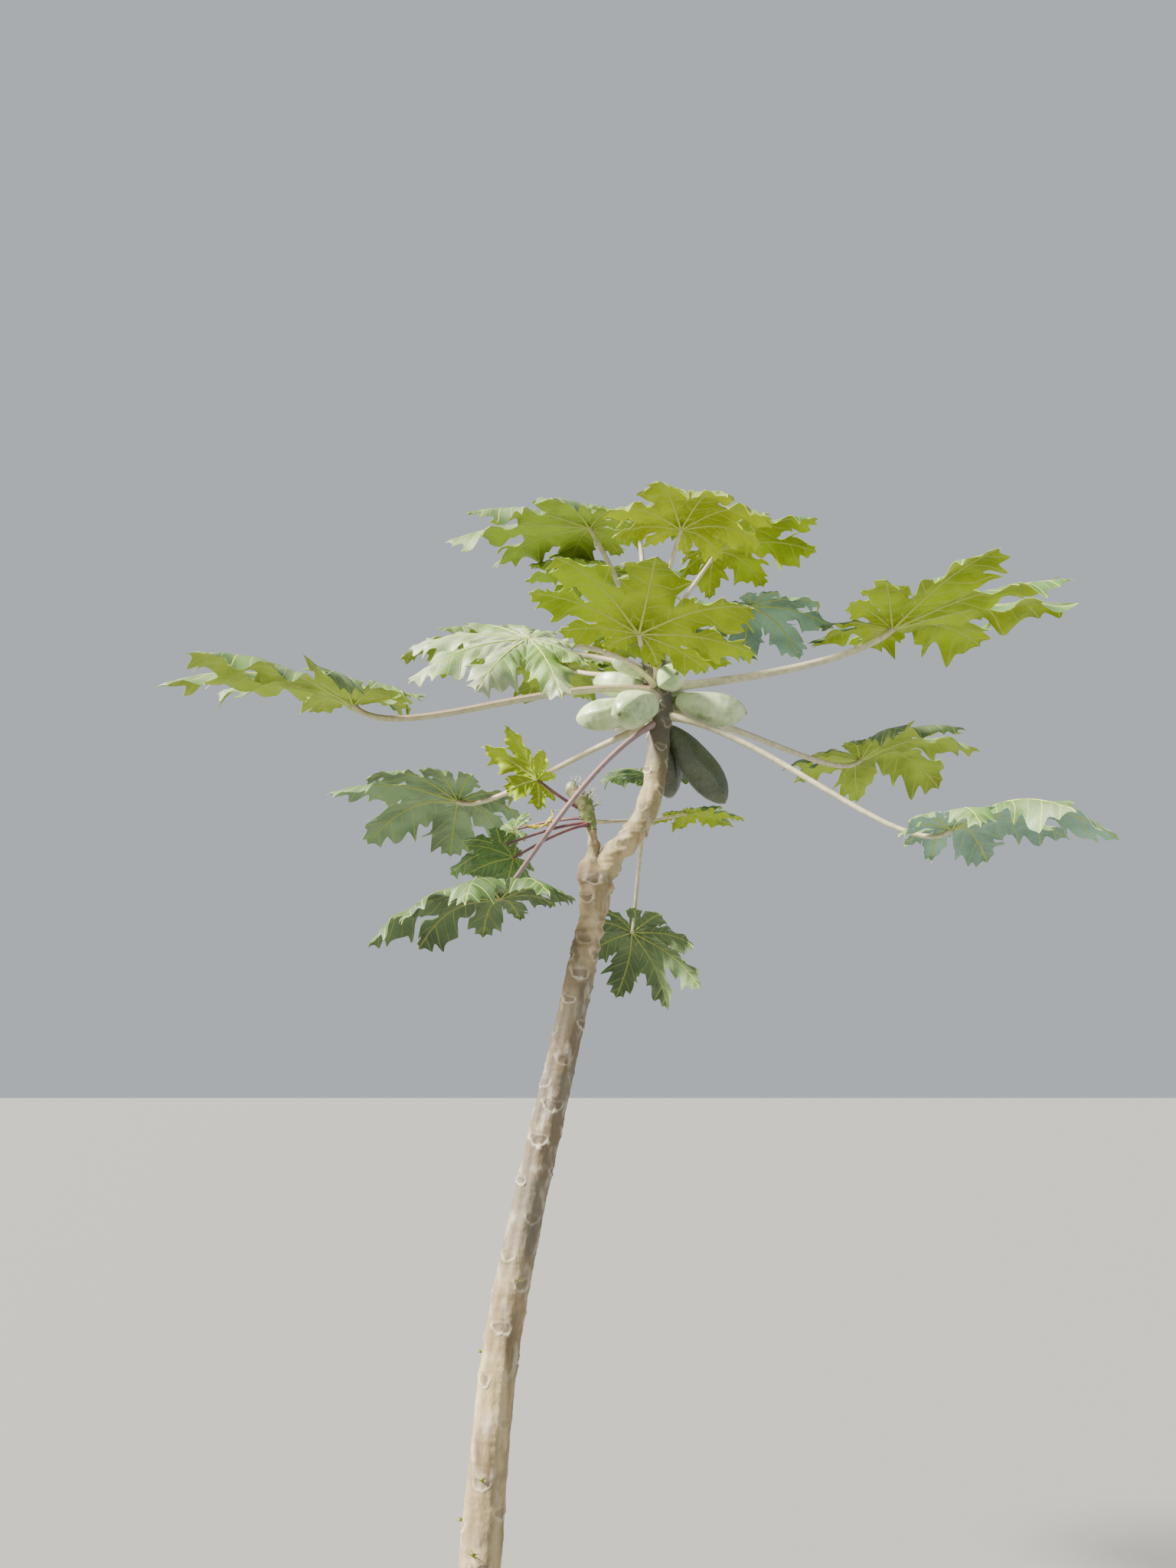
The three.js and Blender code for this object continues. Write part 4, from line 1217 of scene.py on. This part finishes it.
class PAPAYA_OT_fruits(bpy.types.Operator):
    """Add the ribbed green fruits with their short stalks"""

    bl_idname = "papaya.fruits"
    bl_label = "Fruits"

    def execute(self, context):
        looks = context.scene.papaya_fruits
        skins = [
            fruit_finish(f"papaya fruit skin {number}", looks, brightness, bloom)
            for number, (brightness, bloom) in enumerate(FRUIT_TINTS_AND_SHADE)
        ]
        stem = clouded_finish("papaya fruit stalk", 0.6, (120, 4), looks.peduncle, (0.7, 1.3), 0.5, 0.001)
        for number, fruit in enumerate(FRUITS):
            bm = bmesh.new()
            self.add_fruit(bm, fruit, number, looks)
            close_up(bm)
            finish_piece(bm, fruit.name + "_skin", [skins[fruit.tint], stem], "fruit", [fruit.name])
        return {"FINISHED"}

    def add_fruit(self, bm, fruit, number, looks):
        seed = number + 40
        start = 0.36 * CROWN_STEM_WIDTH
        sag = swing(seed, 3, 0.05)
        first_rib = chance(seed, 5) * 2 * math.pi

        def place(u, v):
            angle = 2 * math.pi * u
            share = 1 - (1 - v) ** 1.25
            radius = along_table(FRUIT_PROFILE, share) * fruit.width / 2
            body = smoothstep(share, 0.1, 0.35) * (1 - 0.4 * smoothstep(share, 0.9, 1.0))
            ridge = 1 - abs(math.sin(looks.ribs / 2 * (angle + first_rib)))
            radius *= 1 + looks.rib_depth * body * (1.6 * ridge**1.5 - 0.7)
            dents = noise.noise(Vector((math.cos(angle), math.sin(angle), 3 * share + number)))
            radius *= 1 + 0.02 * dents
            bow = sag * fruit.length * math.sin(math.pi * share)
            along = start + share * fruit.length
            return Vector((along, radius * math.cos(angle), radius * math.sin(angle) + bow))

        add_sheet(bm, FRUIT_COLUMNS, FRUIT_ROWS, place)
        for face in bm.faces:
            share = (face.calc_center_median().x - start) / fruit.length
            face.material_index = int(share < STALK_END or share > BLOSSOM_END)
        matrix = seat(crown_stem_line.at_height(fruit.foot), fruit.azimuth, -fruit.slope)
        bmesh.ops.transform(bm, matrix=matrix, verts=bm.verts)


# Folded young leaves on the crown stem's top: azimuth, lean from upright, length and width.
# They start a little below its top.
SPEARS = [(20, 8, 0.15, 0.015), (150, 20, 0.105, 0.013), (265, 24, 0.09, 0.012)]
SPEARS_SUNK = 0.014
SPEAR_COLUMNS, SPEAR_ROWS = 42, 40


class PAPAYA_OT_growing_tip(bpy.types.Operator):
    """Add the folded young leaves at the top of the crown stem"""

    bl_idname = "papaya.growing_tip"
    bl_label = "Growing Tip"

    def execute(self, context):
        looks = context.scene.papaya_foliage
        bm = bmesh.new()
        top = crown_stem_line.points[-1] - Vector((0, 0, SPEARS_SUNK))
        for azimuth, lean, length, width in SPEARS:
            self.add_spear(bm, seat(top, azimuth, lean), length, width)
        close_up(bm)
        # The young leaves take the under side's colour, with its painted glow of light through the blade.
        colour = shade(looks.under, 1.1)
        cloud = (60, 4, (1, 1, 0.3))
        look = clouded_finish("papaya young leaf", 0.5, cloud, colour, (0.7, 1.4), 0.5, 0.001)
        finish_piece(bm, "growing_tip_leaves", [look], "leaf", ["growing_tip"])
        return {"FINISHED"}

    def add_spear(self, bm, matrix, length, width):
        def place(u, v):
            angle = 2 * math.pi * u
            body = lerp(0.62, 0.3, v) + 0.5 * smoothstep(v, 0.45, 0.7) * (1 - smoothstep(v, 0.72, 1.0))
            radius = width / 2 * body * (1 - smoothstep(v, 0.86, 1.0))
            radius *= 1 + 0.28 * math.cos(7 * angle + 9 * v) * smoothstep(v, 0.4, 0.55)
            return matrix @ Vector((radius * math.cos(angle), radius * math.sin(angle), v * length))

        add_sheet(bm, SPEAR_COLUMNS, SPEAR_ROWS, place)


# Each limb's buds: height and azimuth of the foot, slope of the axis, length and width, and the
# kind, which is 1 for an open flower.
CLOSED, SPROUT = 0, 2
Bud = namedtuple("Bud", "foot azimuth slope length width kind")
BUDS = {
    "shoot": [
        (2.238, 172, 76, 0.046, 0.033, 0), (2.26, 60, 70, 0.016, 0.008, 0),
        (2.258, 300, 65, 0.024, 0.01, 1), (2.255, 20, 60, 0.028, 0.01, 1),
        (2.244, 340, 45, 0.014, 0.008, 0), (2.238, 350, 40, 0.027, 0.01, 1),
        (2.226, 315, 35, 0.024, 0.009, 1), (2.222, 5, 40, 0.015, 0.008, 0),
        (2.21, 350, 30, 0.022, 0.009, 1),
    ],
    "crown": [
        (2.575, 215, 35, 0.018, 0.008, 0), (2.586, 320, 40, 0.02, 0.009, 0),
        (2.6, 262, 45, 0.018, 0.008, 1), (2.615, 40, 50, 0.02, 0.009, 0),
        (2.63, 110, 50, 0.018, 0.008, 0), (2.58, 75, 40, 0.022, 0.01, 0),
        (2.605, 160, 45, 0.018, 0.008, 1), (2.64, 235, 55, 0.018, 0.008, 0),
        (2.652, 340, 55, 0.016, 0.008, 0), (2.44, 205, -20, 0.024, 0.013, 0),
        (2.495, 268, 10, 0.009, 0.007, 0), (2.472, 276, 0, 0.008, 0.006, 0),
        (2.52, 262, 10, 0.008, 0.006, 0),
    ],
    "trunk": [
        (1.06, 287, 35, 0.016, 0.007, 2), (0.9, 186, 30, 0.017, 0.008, 2),
        (0.64, 262, 40, 0.02, 0.008, 2), (0.55, 184, 30, 0.02, 0.008, 2),
        (0.49, 255, 45, 0.022, 0.009, 2), (0.31, 330, 40, 0.018, 0.008, 2),
        (0.2, 70, 40, 0.02, 0.008, 2),
    ],
}
PETALS = 5
PETAL_SPREAD = (28, 48)
# For each kind: how plump its body is, how far up the body its petals or first leaves start, how
# long they are by the body, and how far from the limb's axis it sits, as a share of the radius.
BUD_SHAPES = [(1.0, 0.6, 1.0, 0.9), (0.6, 0.6, 1.35, 0.9), (0.6, 0.2, 1.15, 0.84)]
# The stalk's share of a bud's length, and the most that it may be.
BUD_STALK = 0.35
LONGEST_BUD_STALK = 0.006


class PAPAYA_OT_buds(bpy.types.Operator):
    """Add the buds and small flowers of the crown and the side shoot, and the trunk's sprouts"""

    bl_idname = "papaya.buds"
    bl_label = "Buds"

    def execute(self, context):
        looks = context.scene.papaya_fruits
        # The sprouts take the under side's colour, with its painted glow of light through the blade,
        # darkened a little.
        young = shade(context.scene.papaya_foliage.under, 0.8)
        finishes = [
            clouded_finish("papaya bud", 0.5, (160, 3), looks.bloom, (0.5, 0.8), 0.3, 0.0005, looks.skin),
            clouded_finish("papaya petal", 0.55, (200, 2), looks.petal, (1, 0.8), 0.2, 0.0003),
            clouded_finish("papaya sprout", 0.55, (150, 3), young, (1, 0.6), 0.3, 0.0005),
        ]
        limbs = {
            "shoot": (shoot_line, SHOOT_WIDTH * 0.8),
            "crown": (crown_stem_line, CROWN_STEM_WIDTH * 0.9),
            "trunk": (trunk_line, None),
        }
        bm = bmesh.new()
        for limb, (line, width) in limbs.items():
            for bud in (Bud(*row) for row in BUDS[limb]):
                foot = line.at_height(bud.foot)
                radius = (width or limb_width(0, foot)) / 2
                out = Matrix.Translation((BUD_SHAPES[bud.kind][-1] * radius, 0, 0))
                self.add_bud(bm, bud, seat(foot, bud.azimuth, 0) @ out @ turned("Y", 90 - bud.slope))
        bmesh.ops.recalc_face_normals(bm, faces=bm.faces)
        finish_piece(bm, "flower_buds", finishes, "fruit")
        return {"FINISHED"}

    def add_bud(self, bm, bud, matrix):
        """Adds a bud on its short stalk, and its petals or first leaves."""
        plump, up, long, _ = BUD_SHAPES[bud.kind]
        stalk = min(BUD_STALK * bud.length, LONGEST_BUD_STALK)
        body = bud.length - stalk
        first = len(bm.faces)
        self.add_cone(bm, 8, bud.width * 0.3, bud.width * 0.2, stalk * 1.6, matrix, stalk * 0.5)
        shape = Matrix.Diagonal((bud.width * plump, bud.width * plump, body, 1))
        middle = matrix @ Matrix.Translation((0, 0, stalk + body / 2))
        bmesh.ops.create_uvsphere(bm, u_segments=12, v_segments=9, radius=0.5, matrix=middle @ shape)
        petals = len(bm.faces)
        start = matrix @ Matrix.Translation((0, 0, stalk + up * body))
        for turn in range(0 if bud.kind == CLOSED else PETALS):
            round_it = start @ turned("Z", 360 * turn / PETALS) @ turned("Y", PETAL_SPREAD[turn % 2])
            flat = round_it @ Matrix.Diagonal((0.5, 1, 1, 1))
            self.add_cone(bm, 6, bud.width * 0.26, bud.width * 0.03, long * body, flat, long * body / 2)
        bm.faces.ensure_lookup_table()
        for face in bm.faces[first if bud.kind == SPROUT else petals:]:
            face.material_index = bud.kind

    def add_cone(self, bm, sides, low_radius, high_radius, depth, matrix, middle):
        bmesh.ops.create_cone(
            bm, cap_ends=True, segments=sides, radius1=low_radius, radius2=high_radius,
            depth=depth, matrix=matrix @ Matrix.Translation((0, 0, middle)),
        )


# The withered leaf: bends of its stalk and of its curled blade, as X, Y and Z.
WITHERED_STALK = [
    (0.262, -0.004, 2.2), (0.225, -0.01, 2.215), (0.19, -0.012, 2.196), (0.166, -0.012, 2.203)
]
WITHERED_BLADE = [
    (0.166, -0.012, 2.203), (0.17, -0.014, 2.17), (0.135, -0.018, 2.15), (0.088, -0.02, 2.166)
]
WITHERED_ROWS, WITHERED_COLUMNS = 30, 8
WITHERED_STALK_RADIUS, WITHERED_STALK_SIDES = 0.0011, 8
WITHERED_HALF_WIDTH = 0.011
WITHERED_TEETH = 7
WITHERED_THICKNESS = 0.0007


class PAPAYA_OT_withered_leaf(bpy.types.Operator):
    """Add the small withered leaf that hangs on the side shoot"""

    bl_idname = "papaya.withered_leaf"
    bl_label = "Withered Leaf"

    def execute(self, context):
        looks = context.scene.papaya_foliage
        bm = bmesh.new()
        side = Vector((0, 1, 0))
        rows = WITHERED_ROWS
        stalk, middle = [
            geometry.interpolate_bezier(*[Vector(place) for place in bends], rows + 1)
            for bends in (WITHERED_STALK, WITHERED_BLADE)
        ]
        add_tube(bm, stalk, side, lambda share, turn: WITHERED_STALK_RADIUS, WITHERED_STALK_SIDES)

        def place(u, v):
            row = round(v * rows)
            ahead = middle[min(row + 1, rows)] - middle[max(row - 1, 0)]
            over = ahead.cross(side).normalized()
            across = 2 * u - 1
            teeth = 0.75 + 0.25 * math.cos(2 * math.pi * WITHERED_TEETH * v)
            half = WITHERED_HALF_WIDTH * math.sin(math.pi * min(1.0, 0.12 + 0.88 * v)) ** 0.6
            half *= lerp(1, teeth, abs(across))
            lift = half * (0.9 * across * across + 0.2 * math.sin(16 * v + 2 * across))
            return middle[row] + side * across * half + over * lift

        leaf = add_sheet(bm, WITHERED_COLUMNS, rows, place)
        faces = list(dict.fromkeys(face for vert in leaf for face in vert.link_faces))
        for face in faces:
            face.material_index = 1
        bmesh.ops.solidify(bm, geom=faces, thickness=WITHERED_THICKNESS)
        close_up(bm, FINE_WELD)
        look = Finish("papaya withered leaf", roughness=0.7)
        cloud = look.cloud(120, 4)
        spots = look.band(cloud, 0.4, 0.65)
        base = look.blend(spots, looks.yellowed, shade(looks.yellowed, 0.5, 0.7))
        dry = look.dress(base, cloud, 0.6, 0.001)
        thin = stalk_finish("papaya thin stalk", looks.pale_stalk, looks.purple_stalk, 0.5)
        finish_piece(bm, "withered_leaf", [thin, dry], "leaf")
        return {"FINISHED"}


class PAPAYA_OT_stage(bpy.types.Operator):
    """Add the pale floor, the soft lights and the camera"""

    bl_idname = "papaya.stage"
    bl_label = "Stage"

    CAMERA = (0.262, -3.0, 1.5)
    CAMERA_PITCH = 14.5
    LENS = 27.05
    FLOOR_HALF = 200
    KEY_PLACE, KEY_COLOUR = Vector((-6.0, -2.3, 8.4)), (1.0, 0.95, 0.86)
    FILL_PLACE, FILL_COLOUR = Vector((3.6, -3.0, 2.2)), (0.9, 0.95, 1.0)
    FILL_SIZE = 2.2
    AIM = Vector((0.4, 0, 2.4))

    def execute(self, context):
        looks = context.scene.papaya_stage
        bm = bmesh.new()
        bmesh.ops.create_grid(bm, x_segments=1, y_segments=1, size=self.FLOOR_HALF)
        mesh = bpy.data.meshes.new("stage_floor")
        bm.to_mesh(mesh)
        bm.free()
        floor = bpy.data.objects.new("stage_floor", mesh)
        look = Finish("papaya stage floor", roughness=0.9)
        mesh.materials.append(look.dress(looks.floor))
        context.scene.collection.objects.link(floor)

        world = bpy.data.worlds.new("papaya stage light")
        world.use_nodes = True
        background = world.node_tree.nodes["Background"]
        background.inputs["Color"].default_value = (*looks.backdrop, 1)
        background.inputs["Strength"].default_value = looks.backdrop_strength
        context.scene.world = world
        key = self.add_light(context, "stage_key", "SUN", self.KEY_PLACE, self.KEY_COLOUR)
        key.energy = looks.key_strength
        key.angle = looks.key_angle
        fill = self.add_light(context, "stage_fill", "AREA", self.FILL_PLACE, self.FILL_COLOUR)
        fill.energy = looks.fill_strength
        fill.size = self.FILL_SIZE

        data = bpy.data.cameras.new("stage_camera")
        data.lens = self.LENS
        camera = bpy.data.objects.new("stage_camera", data)
        camera.location = self.CAMERA
        camera.rotation_euler = (math.radians(90 + self.CAMERA_PITCH), 0, 0)
        context.scene.collection.objects.link(camera)
        context.scene.camera = camera
        return {"FINISHED"}

    def add_light(self, context, name, kind, place, colour):
        data = bpy.data.lights.new(name, kind)
        data.color = colour
        light = bpy.data.objects.new(name, data)
        light.location = place
        light.rotation_euler = (self.AIM - place).to_track_quat("-Z", "Y").to_euler()
        context.scene.collection.objects.link(light)
        return data


class PAPAYA_PT_panel(bpy.types.Panel):
    """Lists the steps that dress the tree"""

    bl_idname = "PAPAYA_PT_panel"
    bl_label = "Papaya Tree"
    bl_space_type = "VIEW_3D"
    bl_region_type = "UI"
    bl_category = "Papaya"

    def draw(self, context):
        for operator in OPERATORS:
            self.layout.operator(operator.bl_idname)


SETTINGS = {
    "papaya_bark": PapayaBark,
    "papaya_foliage": PapayaFoliage,
    "papaya_fruits": PapayaFruits,
    "papaya_stage": PapayaStage,
}
OPERATORS = [
    PAPAYA_OT_stage,
    PAPAYA_OT_trunk,
    PAPAYA_OT_crown_stem,
    PAPAYA_OT_side_shoot,
    PAPAYA_OT_fruits,
    PAPAYA_OT_growing_tip,
    PAPAYA_OT_buds,
    PAPAYA_OT_leaves,
    PAPAYA_OT_shoot_leaves,
    PAPAYA_OT_withered_leaf,
]


def register():
    for item in (*SETTINGS.values(), *OPERATORS, PAPAYA_PT_panel):
        bpy.utils.register_class(item)
    for name, group in SETTINGS.items():
        setattr(bpy.types.Scene, name, bpy.props.PointerProperty(type=group))


def unregister():
    for name in SETTINGS:
        delattr(bpy.types.Scene, name)
    for item in reversed((*SETTINGS.values(), *OPERATORS, PAPAYA_PT_panel)):
        bpy.utils.unregister_class(item)


def main():
    register()
    bpy.ops.papaya.stage()
    bpy.ops.papaya.trunk()
    bpy.ops.papaya.crown_stem()
    bpy.ops.papaya.side_shoot()
    bpy.ops.papaya.fruits()
    bpy.ops.papaya.growing_tip()
    bpy.ops.papaya.buds()
    bpy.ops.papaya.leaves()
    bpy.ops.papaya.shoot_leaves()
    bpy.ops.papaya.withered_leaf()


if __name__ == "__main__":
    main()
